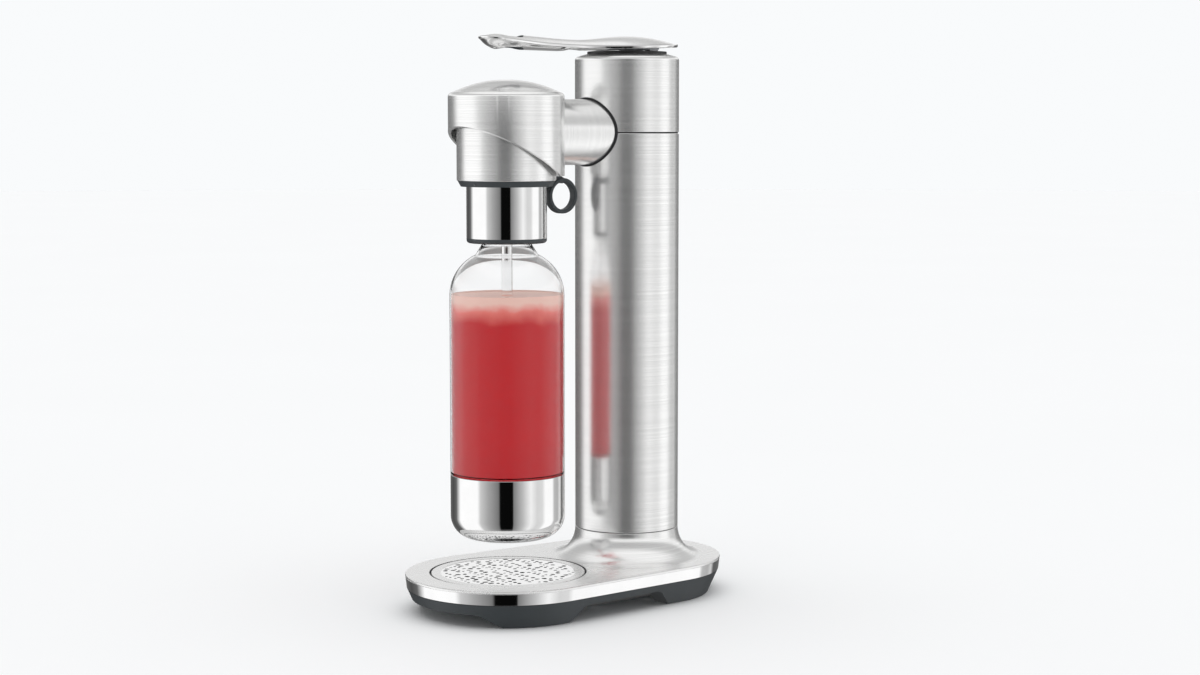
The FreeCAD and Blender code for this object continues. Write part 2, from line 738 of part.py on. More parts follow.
def cap_top():
    """The moulded lid of the cap, with the socket for the dock's port."""
    r = CAP_R - 1.45
    lid = disc(r, CAP_TOP - 6.0, CAP_TOP, HEAD_Y)
    socket_r = PORT_R + 1.3 + CLEAR
    well = disc(socket_r + 2.0, CAP_TOP - 14.0, CAP_TOP - 5.5, HEAD_Y)
    lid = fused([lid, well])
    return lid.cut(disc(socket_r, CAP_TOP - 12.0, CAP_TOP + 1, HEAD_Y)).cut(
        disc(2.0, CAP_TOP - 20.0, CAP_TOP - 10.0, HEAD_Y)
    )


LUG_Y = HEAD_Y + 51.0
LUG_HALF = 1.2
RING_R = 13.4
RING_BORE = 10.4
RING_HALF = 3.3
RING_TOP = 322.6
RING_Z = RING_TOP - RING_R
RING_PIN_Z = RING_TOP - 1.7
PULL_PIN_R = 0.9


def cap_ring():
    """The dark tapered ring under the cap, with the lug that carries the pull ring."""
    top, low, bore = CAP_BOTTOM, CAP_RING_BOTTOM, COLLAR_R + 0.05
    body = turned([(bore, low), (CAP_R - 3.0, low), (CAP_R - 0.6, top), (bore, top)], HEAD_Y)
    lug = box(-LUG_HALF, LUG_HALF, HEAD_Y + 32.0, LUG_Y, RING_PIN_Z - 0.3, 324.0)
    eye = rod(2.4, (-LUG_HALF, LUG_Y, RING_PIN_Z), (LUG_HALF, LUG_Y, RING_PIN_Z))
    body = fused([body, lug, eye]).cut(ring(CAP_R + 0.02, bore - 0.1, top, top + 9, HEAD_Y))
    return body.cut(rod(PULL_PIN_R, (-9, LUG_Y, RING_PIN_Z), (9, LUG_Y, RING_PIN_Z)))


def pull_ring():
    """The ring that releases the cap. It hangs on its pin and swings fore and aft."""
    y, gap = LUG_Y, LUG_HALF + 0.3
    hoop = rod(RING_R, (-RING_HALF, y, RING_Z), (RING_HALF, y, RING_Z))
    hoop = hoop.cut(rod(RING_BORE, (-RING_HALF - 1, y, RING_Z), (RING_HALF + 1, y, RING_Z)))
    hoop = hoop.cut(box(-gap, gap, y - 12.5, y + 5.0, RING_Z + 4.0, RING_TOP + 4.0))
    return hoop.cut(rod(PULL_PIN_R + RUNNING, (-9, y, RING_PIN_Z), (9, y, RING_PIN_Z)))


def pull_ring_pin():
    half = RING_HALF - 0.1
    return rod(PULL_PIN_R, (-half, LUG_Y, RING_PIN_Z), (half, LUG_Y, RING_PIN_Z))


def cap_collar():
    """The polished sleeve that is gripped to screw the cap on."""
    return ring(COLLAR_R, COLLAR_R - 1.2, COLLAR_BOTTOM, CAP_BOTTOM + 3, HEAD_Y)


def collar_ring():
    """The dark rounded ring at the collar's foot."""
    r, z0, z1 = COLLAR_R, COLLAR_FOOT, COLLAR_BOTTOM
    points = [(r - 5.5, z0), (r - 2.4, z0), (r, z0 + 2.0), (r, z1), (r - 5.5, z1)]
    return turned(points, HEAD_Y, {1: arc_mid((r - 2.4, z0 + 2.2), 2.3, -50)})


CORE_R = COLLAR_R - 1.25
THREAD_BORE = NECK_R + 1.0


def cap_core():
    """The threaded moulding inside the collar that screws on to the bottle's neck."""
    z0, z1 = COLLAR_BOTTOM, CAP_TOP - 14.2
    core = disc(CORE_R, z0, z1, HEAD_Y)
    core = core.cut(disc(THREAD_BORE + CLEAR, z0 - 1, NECK_TOP + 2.2, HEAD_Y))
    core = core.cut(disc(PIPE_R, NECK_TOP, z1 - 12, HEAD_Y))
    core = core.cut(disc(2.0, z1 - 13, z1 + 1, HEAD_Y))
    return core.cut(rod(3.0, (16, HEAD_Y, z1 - 16), (16, HEAD_Y, z1 + 1)))


def cap_seal():
    """The washer that the bottle's mouth closes on."""
    return ring(NECK_R + 0.8, PIPE_R + 4.0, NECK_TOP + CLEAR, NECK_TOP + 2.2, HEAD_Y)


def pressure_valve():
    """The small valve in the cap that lets out excess pressure."""
    z1 = CAP_TOP - 14.2
    return fused([disc(3.0, z1 - 16, z1, HEAD_Y, 16), disc(4.6, z1, z1 + 6.0, HEAD_Y, 16)])


def carbonation_tube():
    """The steel tube that carries the gas down into the drink."""
    return ring(PIPE_R, PIPE_R - 1.0, PIPE_END, CAP_TOP - 14.2 - 12, HEAD_Y)


def tube_nozzle():
    """The nozzle at the tube's end, with its fine outlet."""
    r = PIPE_R - 1.0
    low, top = PIPE_END - 4, PIPE_END + 7
    section = [(0, low), (2.4, low), (PIPE_R, PIPE_END), (r, PIPE_END), (r, top), (0, top)]
    return turned(section, HEAD_Y).cut(disc(0.6, low - 1, top + 1, HEAD_Y))


# ---- bottle -------------------------------------------------------------------------------------
def bottle_section(inset, mouth):
    """Half of the bottle's section, from its floor to its mouth."""
    r = BOTTLE_R - inset
    foot = BOTTLE_BOTTOM + CUP_WALL + inset
    cup_r = BOTTLE_R - CUP_WALL - 0.05 - inset
    corner = CUP_CORNER - CUP_WALL
    neck = NECK_R - inset
    step = CUP_TOP + 0.1
    turn = (BOTTLE_R - SHOULDER_R, BOTTLE_SHOULDER)
    points = [
        (0, foot),
        (cup_r - corner, foot),
        (cup_r, foot + corner),
        (cup_r, step + inset),
        (r, step + inset + 0.8),
        (r, BOTTLE_SHOULDER),
        arc_mid(turn, SHOULDER_R - inset, SHOULDER_TURN),
        (neck, NECK_BASE + 1.0),
        (neck, mouth),
        (0, mouth),
    ]
    arcs = {
        1: arc_mid((cup_r - corner, foot + corner), corner, -45),
        5: arc_mid(turn, SHOULDER_R - inset, SHOULDER_TURN / 2),
    }
    return points, arcs


def bottle_body():
    """The clear bottle, thin walled, with its threaded neck."""
    outer, outer_arcs = bottle_section(0, NECK_TOP)
    inner, inner_arcs = bottle_section(BOTTLE_WALL, NECK_TOP + 1)
    bottle = turned(outer, HEAD_Y, outer_arcs)
    root, crest = NECK_R - 0.5, NECK_R + 1.0
    for i in range(3):
        z = NECK_BASE + 8.0 + 6.0 * i
        thread = [(root, z), (crest, z + 0.8), (crest, z + 1.4), (root, z + 2.2)]
        bottle = bottle.fuse(turned(thread, HEAD_Y))
    return bottle.removeSplitter().cut(turned(inner, HEAD_Y, inner_arcs))


def bottle_cup():
    """The polished cup that the bottle's foot stands in."""
    z0, corner, top = BOTTLE_BOTTOM, CUP_CORNER, CUP_TOP

    def filled(inset, mouth):
        r, foot = BOTTLE_R - inset, z0 + inset
        points = [(0, foot), (BOTTLE_R - corner, foot), (r, z0 + corner), (r, mouth), (0, mouth)]
        bend = arc_mid((BOTTLE_R - corner, z0 + corner), corner - inset, -45)
        return turned(points, HEAD_Y, {1: bend})

    return filled(0, top).cut(filled(CUP_WALL, top + 1))


# ---- lever --------------------------------------------------------------------------------------
def lever_outline(inset=0.0):
    """The spoon outline: a disc over the column and a slim handle with a round tip."""
    disc_part = disc(LEVER_R - inset, 400, 440)
    tip = disc(LEVER_TIP_R - inset, 400, 440, LEVER_TIP_Y)
    wide, slim = 33.0 - inset, LEVER_WAIST - inset
    y0, y1, y2 = -20.0, -52.0, -84.0
    left = [(-wide, y0), (-slim - 5.0, y1), (-slim, y2), (-(LEVER_TIP_R - inset) + 0.1, LEVER_TIP_Y)]
    points = [V(x, y, 400) for x, y in left] + [V(-x, y, 400) for x, y in reversed(left)]
    waist = Part.Face(Part.makePolygon(points + points[:1])).extrude(V(0, 0, 40))
    return fused([disc_part, waist, tip])


def lever_sheet(drop):
    """The space under the lever's upper surface, as a long slab with a curved top."""
    apex, handle = LEVER_APEX, LEVER_APEX - 0.6
    line = [(60, apex - 9.0), (39, apex - 6.6), (0, apex), (-50, apex - 3.8), (-110, handle), (-150, handle)]
    points = [V(-70, y, z - drop) for y, z in line]
    top = Part.BSplineCurve()
    top.interpolate(points)
    rear, front = V(-70, line[0][0], 380), V(-70, line[-1][0], 380)
    edges = [
        top.toShape(),
        Part.makeLine(points[-1], front),
        Part.makeLine(front, rear),
        Part.makeLine(rear, points[0]),
    ]
    return Part.Face(Part.Wire(Part.__sortEdges__(edges))).extrude(V(140, 0, 0))


def lever_floor(z_rear, z_mid, z_front):
    """The space above the lever's rim, which rises gently to both ends."""
    a, m, b = V(-70, 60, z_rear), V(-70, -40, z_mid), V(-70, -150, z_front)
    edges = [
        Part.Arc(a, m, b).toShape(),
        Part.makeLine(b, V(-70, -150, 450)),
        Part.makeLine(V(-70, -150, 450), V(-70, 60, 450)),
        Part.makeLine(V(-70, 60, 450), a),
    ]
    return Part.Face(Part.Wire(edges)).extrude(V(140, 0, 0))


def finger_hole(grow=0.0):
    half, run = FINGER_HOLE[0] + grow, FINGER_HOLE[1]
    ends = [disc(half, 380, 450, FINGER_HOLE_Y + s * run) for s in (-1, 1)]
    return fused(ends + [box(-half, half, FINGER_HOLE_Y - run, FINGER_HOLE_Y + run, 380, 450)])


def lever_shell():
    """The brushed lever with its polished rim, hollow underneath."""
    wall = 2.0
    body = lever_outline().common(lever_sheet(0)).common(lever_floor(422.0, LEVER_RIM, 425.0))
    hollow = lever_outline(wall).common(lever_sheet(wall))
    hollow = hollow.cut(finger_hole(wall))
    body = body.cut(hollow).cut(finger_hole())
    body.translate(V(0, COLUMN_Y, 0))
    return body


def lever_fairing():
    """The curved lower half of the handle, closing it from the tip to near the column."""
    outline = lever_outline(0.6).common(box(-30, 30, -150, -58, 400, 440))
    a, m, b = V(-40, -50, 417.6), V(-40, -100, 418.0), V(-40, -150, 424.0)
    edges = [
        Part.Arc(a, m, b).toShape(),
        Part.makeLine(b, V(-40, -150, 430)),
        Part.makeLine(V(-40, -150, 430), V(-40, -50, 430)),
        Part.makeLine(V(-40, -50, 430), a),
    ]
    lower = Part.Face(Part.Wire(edges)).extrude(V(80, 0, 0))
    body = outline.common(lower).cut(lever_floor(421.95, LEVER_RIM - 0.05, 424.95)).cut(finger_hole())
    body.translate(V(0, COLUMN_Y, 0))
    return body


def lever_yoke():
    """The casting under the lever: two cheeks on the pivot pin and the nose that meets the plunger."""
    y = COLUMN_Y
    plate = box(-12, 12, y - 10, y + 22, 420.0, 426.0).common(moved_sheet(2.05))
    nose = box(-4, 4, y - 4.5, y + 4.5, PLUNGER_TOP + CLEAR, 421.0)
    cheeks = []
    for s in (-1, 1):
        x0, x1 = sorted((s * 6.0, s * 12.0))
        cheek = box(x0, x1, y + PIVOT_Y - 4.0, y + PIVOT_Y + 4.0, PIVOT_Z, 421.0)
        boss = rod(4.0, (x0, y + PIVOT_Y, PIVOT_Z), (x1, y + PIVOT_Y, PIVOT_Z))
        cheeks += [cheek, boss]
    body = fused([plate, nose] + cheeks)
    hole = rod(PIVOT_R + RUNNING, (-20, y + PIVOT_Y, PIVOT_Z), (20, y + PIVOT_Y, PIVOT_Z))
    return body.cut(hole)


def moved_sheet(drop):
    shape = lever_sheet(drop)
    shape.translate(V(0, COLUMN_Y, 0))
    return shape


def pivot_block():
    """The block in the housing that carries the lever's pin."""
    y, z = COLUMN_Y + PIVOT_Y, PIVOT_Z
    post = box(-5.5, 5.5, y - 4.0, y + 4.0, VALVE_TOP, z)
    body = fused([post, rod(4.0, (-5.5, y, z), (5.5, y, z))])
    hole = rod(PIVOT_R, (-20, y, z), (20, y, z))
    return body.cut(hole)


def lever_pin():
    y, z = COLUMN_Y + PIVOT_Y, PIVOT_Z
    return rod(PIVOT_R, (-12, y, z), (12, y, z))


# ---- write the pieces ---------------------------------------------------------------------------
NODES = [
    base_cover, base_band, under_base, foot_pads, base_plate, base_screws,
    drip_tray, drip_grille, tray_seal,
    column_shell, seam_gasket, rear_cover, cover_clips, column_frame, canister_seat, frame_screws,
    top_housing, neck_ring, valve_block, valve_bracket, valve_seal, plunger, return_spring, relief_valve,
    canister_body, canister_label, canister_valve, burst_nut, valve_pin,
    arm_tube, arm_core, arm_gasket, gas_tube,
    head_cover, head_dock, dock_seal, dock_screws,
    cap_shell, cap_top, cap_ring, cap_collar, collar_ring, cap_core, cap_seal, pressure_valve,
    carbonation_tube, tube_nozzle, pull_ring, pull_ring_pin,
    bottle_body, bottle_cup,
    lever_shell, lever_fairing, lever_yoke, pivot_block, lever_pin,
]

os.makedirs("parts", exist_ok=True)
for node in NODES:
    shape = node()
    assert shape.isValid() and shape.Solids and shape.Volume > 0, node.__name__
    print(node.__name__, len(shape.Solids), round(shape.Volume))
    shape.exportStep(f"parts/{node.__name__}.step")
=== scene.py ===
"""Looks of a lever-operated soda carbonator, laid out as an add-on and run as a script.

Every piece is built in place, in metres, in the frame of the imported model.
"""

import json
import math

import bmesh
import bpy
from bpy.props import FloatProperty, FloatVectorProperty, PointerProperty
from mathutils import Matrix, Vector


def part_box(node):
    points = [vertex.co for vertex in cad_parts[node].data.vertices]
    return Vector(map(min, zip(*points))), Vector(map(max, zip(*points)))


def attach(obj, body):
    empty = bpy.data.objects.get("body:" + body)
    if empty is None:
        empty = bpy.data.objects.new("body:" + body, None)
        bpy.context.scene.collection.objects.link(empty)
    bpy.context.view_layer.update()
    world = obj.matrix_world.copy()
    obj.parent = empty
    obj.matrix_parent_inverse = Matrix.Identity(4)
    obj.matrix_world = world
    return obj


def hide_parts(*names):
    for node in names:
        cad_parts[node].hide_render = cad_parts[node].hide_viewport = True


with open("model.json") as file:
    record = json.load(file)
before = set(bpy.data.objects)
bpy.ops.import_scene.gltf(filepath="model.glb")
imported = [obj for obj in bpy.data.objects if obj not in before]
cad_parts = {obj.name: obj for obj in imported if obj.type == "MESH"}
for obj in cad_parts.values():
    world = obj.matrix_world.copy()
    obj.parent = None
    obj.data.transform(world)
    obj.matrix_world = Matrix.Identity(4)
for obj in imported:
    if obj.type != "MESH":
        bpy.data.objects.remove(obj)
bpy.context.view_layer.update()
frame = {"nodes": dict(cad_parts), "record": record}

bl_info = {
    "name": "Soda carbonator",
    "version": (1, 0, 0),
    "blender": (4, 5, 0),
    "location": "View3D > Sidebar > Carbonator",
    "description": "Builds the visible pieces of a countertop soda carbonator",
    "category": "Add Mesh",
}

NODES = frame["nodes"]
RECORD = frame["record"]
SLOT_OF = {part["node"]: part["material_slot"] for part in RECORD["subparts"]}
BODY_OF = {node: body for body, nodes in RECORD["behaviour"]["bodies"].items() for node in nodes}
MM = 0.001
TURN = 192             # steps of a full turn
SMOOTH_ANGLE = math.radians(32)


class Extent:
    """A node's box at rest, in millimetres."""

    def __init__(self, node):
        low, high = [[c / MM for c in corner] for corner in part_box(node)]
        self.x0, self.y0, self.z0 = low
        self.x1, self.y1, self.z1 = high
        self.r = (self.x1 - self.x0) / 2
        self.y = (self.y0 + self.y1) / 2


HEAD = Extent("head_cover")
COLUMN = Extent("top_housing")
HEAD_Y = HEAD.y
COLUMN_Y = COLUMN.y


# ---- shape tools: sections and outlines in millimetres -----------------------------------------
def arc(centre, radius, start, end, steps=16):
    """Points of a section's arc between two angles in degrees, measured from the outward direction."""
    angles = [math.radians(start + (end - start) * i / steps) for i in range(steps + 1)]
    return [(centre[0] + radius * math.cos(a), centre[1] + radius * math.sin(a)) for a in angles]


def crown(reach, edge, apex, steps=14):
    """Points of a shallow round crown, from its edge up to its middle."""
    rise = apex - edge
    ball = (reach * reach + rise * rise) / (2 * rise)
    spread = math.degrees(math.asin(reach / ball))
    return arc((0, apex - ball), ball, 90 - spread, 90, steps)


def lathe(section, rounds=None, y=0.0, sweep=360.0, start=0.0, steps=TURN):
    """A closed half section of (radius, height) pairs, turned about an upright axis.

    rounds gives some corners a round: {index: (reach, segments)}. A part turn starts at an angle
    from the rear (+Y) and has flat ends.
    """
    bm = bmesh.new()
    corners = [bm.verts.new((r, 0, z)) for r, z in section]
    for corner, after in zip(corners, corners[1:] + corners[:1]):
        if corner.co.x > 1e-6 or after.co.x > 1e-6:
            bm.edges.new((corner, after))
    for corner, (reach, segments) in [(corners[i], r) for i, r in (rounds or {}).items()]:
        bmesh.ops.bevel(
            bm, geom=[corner], offset=reach, offset_type="OFFSET", segments=segments, profile=0.5,
            affect="VERTICES", material=-1,
        )
    if sweep < 360:
        bmesh.ops.contextual_create(bm, geom=bm.edges[:])
    bmesh.ops.rotate(bm, verts=bm.verts, matrix=Matrix.Rotation(math.radians(90 - start), 3, "Z"))
    bmesh.ops.spin(
        bm, geom=bm.verts[:] + bm.edges[:] + bm.faces[:], axis=(0, 0, 1), dvec=(0, 0, 0), cent=(0, 0, 0),
        angle=-math.radians(sweep), steps=steps, use_merge=sweep >= 360,
    )
    bmesh.ops.remove_doubles(bm, verts=bm.verts, dist=1e-4)
    bmesh.ops.translate(bm, verts=bm.verts, vec=(0, y, 0))
    return bm


def loop(bm, points):
    """A closed loop of points, made from a circle of as many steps."""
    made = bmesh.ops.create_circle(bm, segments=len(points), radius=1.0)["verts"]
    for vert, point in zip(made, points):
        vert.co = point
    return list({edge for vert in made for edge in vert.link_edges})


def skin(rows, closed=False, capped=True):
    """Loops of points bridged one to the next. Closed joins the last to the first; capped fills both ends."""
    bm = bmesh.new()
    loops = [loop(bm, row) for row in rows]
    pairs = list(zip(loops, loops[1:]))
    if closed:
        pairs.append((loops[-1], loops[0]))
    for a, b in pairs:
        bmesh.ops.bridge_loops(bm, edges=a + b)
    if capped and not closed:
        for edges in (loops[0], loops[-1]):
            bmesh.ops.contextual_create(bm, geom=edges)
    bmesh.ops.remove_doubles(bm, verts=bm.verts, dist=1e-4)
    return bm


def merged(bm):
    """Joins the points that lie on one another, such as a skin's two halves where they meet."""
    bmesh.ops.remove_doubles(bm, verts=bm.verts, dist=0.02)
    bmesh.ops.recalc_face_normals(bm, faces=bm.faces)
    return bm


def cut(bm, point, normal):
    """Takes away what lies beyond a plane, and closes the cut."""
    made = bmesh.ops.bisect_plane(
        bm, geom=bm.verts[:] + bm.edges[:] + bm.faces[:], plane_co=point, plane_no=normal, clear_outer=True
    )
    edges = [item for item in made["geom_cut"] if isinstance(item, bmesh.types.BMEdge)]
    bmesh.ops.triangle_fill(bm, edges=edges, use_beauty=True)


def meshed(name, bm):
    """A mesh in metres from a bmesh in millimetres, its faces turned outwards."""
    bmesh.ops.recalc_face_normals(bm, faces=bm.faces)
    bmesh.ops.scale(bm, vec=(MM, MM, MM), verts=bm.verts)
    mesh = bpy.data.meshes.new(name)
    bm.to_mesh(mesh)
    bm.free()
    return mesh


def shade_round(mesh):
    mesh.shade_smooth()
    mesh.set_sharp_from_angle(angle=SMOOTH_ANGLE)


def even_shading(piece):
    """Lets large faces keep their own direction where they meet small rounded ones."""
    modifier = piece.modifiers.new("normals", "WEIGHTED_NORMAL")
    modifier.weight = 100
    modifier.keep_sharp = True


def place(bm, name, node, finish, replaced=True):
    """Puts a new piece where a node is: on its body and with the given finish."""
    mesh = meshed(name, bm)
    shade_round(mesh)
    mesh.materials.append(FINISHES[finish])
    piece = bpy.data.objects.new(name, mesh)
    bpy.context.collection.objects.link(piece)
    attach(piece, BODY_OF[node])
    if replaced:
        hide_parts(node)
    even_shading(piece)
    return piece


def carve(piece, cutter):
    """Cuts a shape out of a piece for good."""
    tool = bpy.data.objects.new("cutter", meshed("cutter", cutter))
    bpy.context.collection.objects.link(tool)
    piece.modifiers.clear()
    modifier = piece.modifiers.new("carve", "BOOLEAN")
    modifier.object = tool
    modifier.operation = "DIFFERENCE"
    modifier.solver = "EXACT"
    bpy.context.view_layer.update()
    carved = bpy.data.meshes.new_from_object(piece.evaluated_get(bpy.context.evaluated_depsgraph_get()))
    piece.modifiers.clear()
    carved.name = piece.name
    piece.data = carved
    bpy.data.objects.remove(tool)
    shade_round(carved)
    even_shading(piece)


def soften(piece, width, segments=2):
    """Rounds every sharp edge of a piece a little."""
    modifier = piece.modifiers.new("edges", "BEVEL")
    modifier.width = width * MM
    modifier.segments = segments
    modifier.limit_method = "ANGLE"
    modifier.angle_limit = SMOOTH_ANGLE
    modifier.harden_normals = True


def rod_cutter(r, start, length, axis="Y"):
    """A round bar that starts at a point and runs along an axis, to carve with."""
    bm = bmesh.new()
    bmesh.ops.create_cone(
        bm, cap_ends=True, segments=96, radius1=r, radius2=r, depth=length,
        matrix=Matrix.Translation((0, 0, length / 2)),
    )
    turn = Matrix.Rotation(-math.pi / 2, 4, "X") if axis == "Y" else Matrix()
    bmesh.ops.transform(bm, matrix=Matrix.Translation(start) @ turn, verts=bm.verts)
    return bm


# ---- sizes and colours --------------------------------------------------------------------------
def length(name, default, description):
    return FloatProperty(name=name, description=description, default=default, unit="LENGTH", min=0.0)


def colour(name, default, description):
    return FloatVectorProperty(
        name=name, description=description, default=default, size=3, min=0.0, max=1.0, subtype="COLOR"
    )


class CarbonatorSizes(bpy.types.PropertyGroup):
    """Sizes that the visible pieces are built from."""

    edge: length("Cover edge", 0.00045, "Rounding of the head cover's edges")
    sheet: length("Sheet", 0.0012, "Thickness of the column's steel sheet")
    head_wall: length("Head wall", 0.0022, "Thickness of the head cover")
    bottle_wall: length("Bottle wall", 0.0011, "Thickness of the bottle's wall")


class CarbonatorColours(bpy.types.PropertyGroup):
    """Colours of the finishes."""

    steel: colour("Brushed steel", (0.93, 0.93, 0.925), "Colour of the brushed sheets")
    mirror: colour("Polished steel", (0.88, 0.88, 0.88), "Colour of the polished parts")
    moulding: colour("Dark moulding", (0.040, 0.048, 0.053), "Colour of the base pan and cap rings")
    drink: colour("Drink", (0.56, 0.006, 0.012), "Colour of the drink in the bottle")
    foam: colour("Foam", (0.92, 0.60, 0.52), "Colour of the foam on the drink")
    label: colour("Canister sleeve", (0.86, 0.86, 0.85), "Colour of the canister's sleeve")


class CarbonatorStudio(bpy.types.PropertyGroup):
    """Camera and light."""

    azimuth: FloatProperty(
        name="Camera azimuth", description="Where the camera stands, from the front towards +X",
        default=math.radians(51.3), subtype="ANGLE",
    )
    distance: length("Camera distance", 1.7011, "From the camera to the column's axis, along the view")
    eye_height: length("Eye height", 0.3577, "Height of the camera over the floor")
    aside: length("Column offset", 0.0207, "How far the column's axis lies right of the view's middle")
    pitch: FloatProperty(
        name="Camera pitch", description="How far the camera looks down", default=math.radians(5.36),
        subtype="ANGLE",
    )
    lens: FloatProperty(name="Lens", description="Focal length in millimetres", default=66.0)


def sizes():
    return bpy.context.scene.carbonator_sizes


def colours():
    return bpy.context.scene.carbonator_colours


# ---- node tools ---------------------------------------------------------------------------------
class Finish:
    """A small helper that builds one node material."""

    def __init__(self, name):
        self.material = bpy.data.materials.new(name)
        self.material.use_nodes = True
        self.tree = self.material.node_tree
        self.shader = self.tree.nodes["Principled BSDF"]
        self.coords = self.tree.nodes.new("ShaderNodeTexCoord")

    def add(self, kind, **settings):
        node = self.tree.nodes.new(kind)
        for key, value in settings.items():
            setattr(node, key, value)
        return node

    def link(self, a, b):
        self.tree.links.new(a, b)

    def set(self, **values):
        for key, value in values.items():
            self.shader.inputs[key.replace("_", " ")].default_value = value

    def mapped(self, scale, turn=(0, 0, 0), shift=(0, 0, 0)):
        mapping = self.add("ShaderNodeMapping")
        mapping.inputs["Scale"].default_value = scale
        mapping.inputs["Rotation"].default_value = turn
        mapping.inputs["Location"].default_value = shift
        self.link(self.coords.outputs["Object"], mapping.inputs["Vector"])
        return mapping.outputs["Vector"]

    def noise(self, vector, scale=1.0, detail=2.0, rough=0.5):
        node = self.add("ShaderNodeTexNoise")
        node.inputs["Scale"].default_value = scale
        node.inputs["Detail"].default_value = detail
        node.inputs["Roughness"].default_value = rough
        self.link(vector, node.inputs["Vector"])
        return node.outputs["Fac"]

    def ramp(self, factor, stops):
        node = self.add("ShaderNodeValToRGB")
        elements = node.color_ramp.elements
        while len(elements) < len(stops):
            elements.new(0.5)
        for element, (place, value) in zip(elements, stops):
            element.position = place
            shade = value if hasattr(value, "__len__") else (value, value, value)
            element.color = (*shade, 1.0)
        self.link(factor, node.inputs["Fac"])
        return node.outputs["Color"]

    def bump(self, height, strength, distance, under=None):
        node = self.add("ShaderNodeBump")
        node.inputs["Strength"].default_value = strength
        node.inputs["Distance"].default_value = distance
        self.link(height, node.inputs["Height"])
        if under is not None:
            self.link(under, node.inputs["Normal"])
        return node.outputs["Normal"]

    def range(self, factor, low, high):
        node = self.add("ShaderNodeMapRange")
        node.inputs["To Min"].default_value = low
        node.inputs["To Max"].default_value = high
        self.link(factor, node.inputs["Value"])
        return node.outputs["Result"]

    def output(self, socket, name):
        self.link(socket, self.shader.inputs[name])


def shade(base, spread):
    """Two tints of a colour, a little darker and a little lighter."""
    return [tuple(max(0.0, min(1.0, c * (1 + s * spread))) for c in base) for s in (-1, 1)]


# ---- finishes -----------------------------------------------------------------------------------
def brushed_finish(name, grain, tangent=None, rough=(0.17, 0.24), spread=0.07, depth=0.20):
    """Steel with fine parallel scratches. grain is how fast the scratches vary along X, Y and Z."""
    f = Finish(name)
    fine = f.noise(f.mapped(grain), detail=3.0, rough=0.6)
    broad = f.noise(f.mapped([g * 0.3 for g in grain], shift=(3.1, 1.7, 0.4)), detail=2.0)
    low, high = shade(colours().steel, spread)
    f.output(f.ramp(fine, [(0.3, low), (0.7, high)]), "Base Color")
    f.output(f.range(broad, *rough), "Roughness")
    f.output(f.bump(fine, depth, 0.00002), "Normal")
    f.set(Metallic=0.80, Anisotropic=0.7 if tangent else 0.0)
    if tangent:
        node = f.add("ShaderNodeTangent", direction_type="RADIAL", axis=tangent)
        f.output(node.outputs["Tangent"], "Tangent")
    return f.material


def mirror_finish(name, rough=0.05):
    """Polished steel with faint polishing haze and wear."""
    f = Finish(name)
    haze = f.noise(f.mapped((60, 60, 60)), detail=4.0)
    wave = f.noise(f.mapped((30, 30, 30)), detail=1.0)
    low, high = shade(colours().mirror, 0.02)
    f.output(f.ramp(haze, [(0.35, low), (0.65, high)]), "Base Color")
    f.output(f.range(haze, rough * 0.6, rough * 1.5), "Roughness")
    f.output(f.bump(wave, 0.02, 0.0001), "Normal")
    f.set(Metallic=1.0)
    return f.material


def moulded_finish(name, base, rough=0.45, grain=1800.0, strength=0.25):
    """Moulded plastic with a fine even grain."""
    f = Finish(name)
    cells = f.noise(f.mapped((grain, grain, grain)), detail=2.0)
    broad = f.noise(f.mapped((25, 25, 25)), detail=3.0)
    low, high = shade(base, 0.10)
    f.output(f.ramp(broad, [(0.3, low), (0.7, high)]), "Base Color")
    f.output(f.range(cells, rough - 0.06, rough + 0.08), "Roughness")
    f.output(f.bump(cells, strength, 0.00004), "Normal")
    return f.material


def rubber_finish(name):
    return moulded_finish(name, (0.018, 0.018, 0.020), 0.7, 2500.0, 0.4)


def cast_finish(name, base=(0.46, 0.47, 0.49)):
    """Cast or plated metal with a soft, uneven grain."""
    f = Finish(name)
    cells = f.noise(f.mapped((500, 500, 500)), detail=4.0, rough=0.7)
    low, high = shade(base, 0.12)
    f.output(f.ramp(cells, [(0.3, low), (0.7, high)]), "Base Color")
    f.output(f.range(cells, 0.38, 0.55), "Roughness")
    f.output(f.bump(cells, 0.3, 0.00008), "Normal")
    f.set(Metallic=0.9)
    return f.material


def brass_finish(name):
    """Turned brass with fine tool marks and a little tarnish."""
    f = Finish(name)
    marks = f.noise(f.mapped((20, 20, 2200)), detail=2.0)
    stain = f.noise(f.mapped((120, 120, 120)), detail=4.0)
    f.output(f.ramp(stain, [(0.3, (0.55, 0.38, 0.14)), (0.7, (0.78, 0.58, 0.26))]), "Base Color")
    f.output(f.range(stain, 0.2, 0.38), "Roughness")
    f.output(f.bump(marks, 0.25, 0.00004), "Normal")
    f.set(Metallic=1.0)
    return f.material


def satin_finish(name):
    """The canister's spun aluminium."""
    f = Finish(name)
    marks = f.noise(f.mapped((6, 6, 1500)), detail=3.0)
    dull = f.noise(f.mapped((40, 40, 40)), detail=4.0)
    f.output(f.ramp(dull, [(0.3, (0.60, 0.60, 0.61)), (0.7, (0.70, 0.70, 0.71))]), "Base Color")
    f.output(f.range(dull, 0.36, 0.5), "Roughness")
    f.output(f.bump(marks, 0.3, 0.00004), "Normal")
    f.set(Metallic=0.95)
    return f.material


def sleeve_finish(name):
    """The canister's plain white sleeve."""
    f = Finish(name)
    broad = f.noise(f.mapped((30, 30, 30)), detail=3.0)
    fine = f.noise(f.mapped((1500, 1500, 1500)), detail=2.0)
    low, high = shade(colours().label, 0.02)
    f.output(f.ramp(broad, [(0.3, low), (0.7, high)]), "Base Color")
    f.output(f.range(broad, 0.25, 0.35), "Roughness")
    f.output(f.bump(fine, 0.1, 0.00002), "Normal")
    return f.material


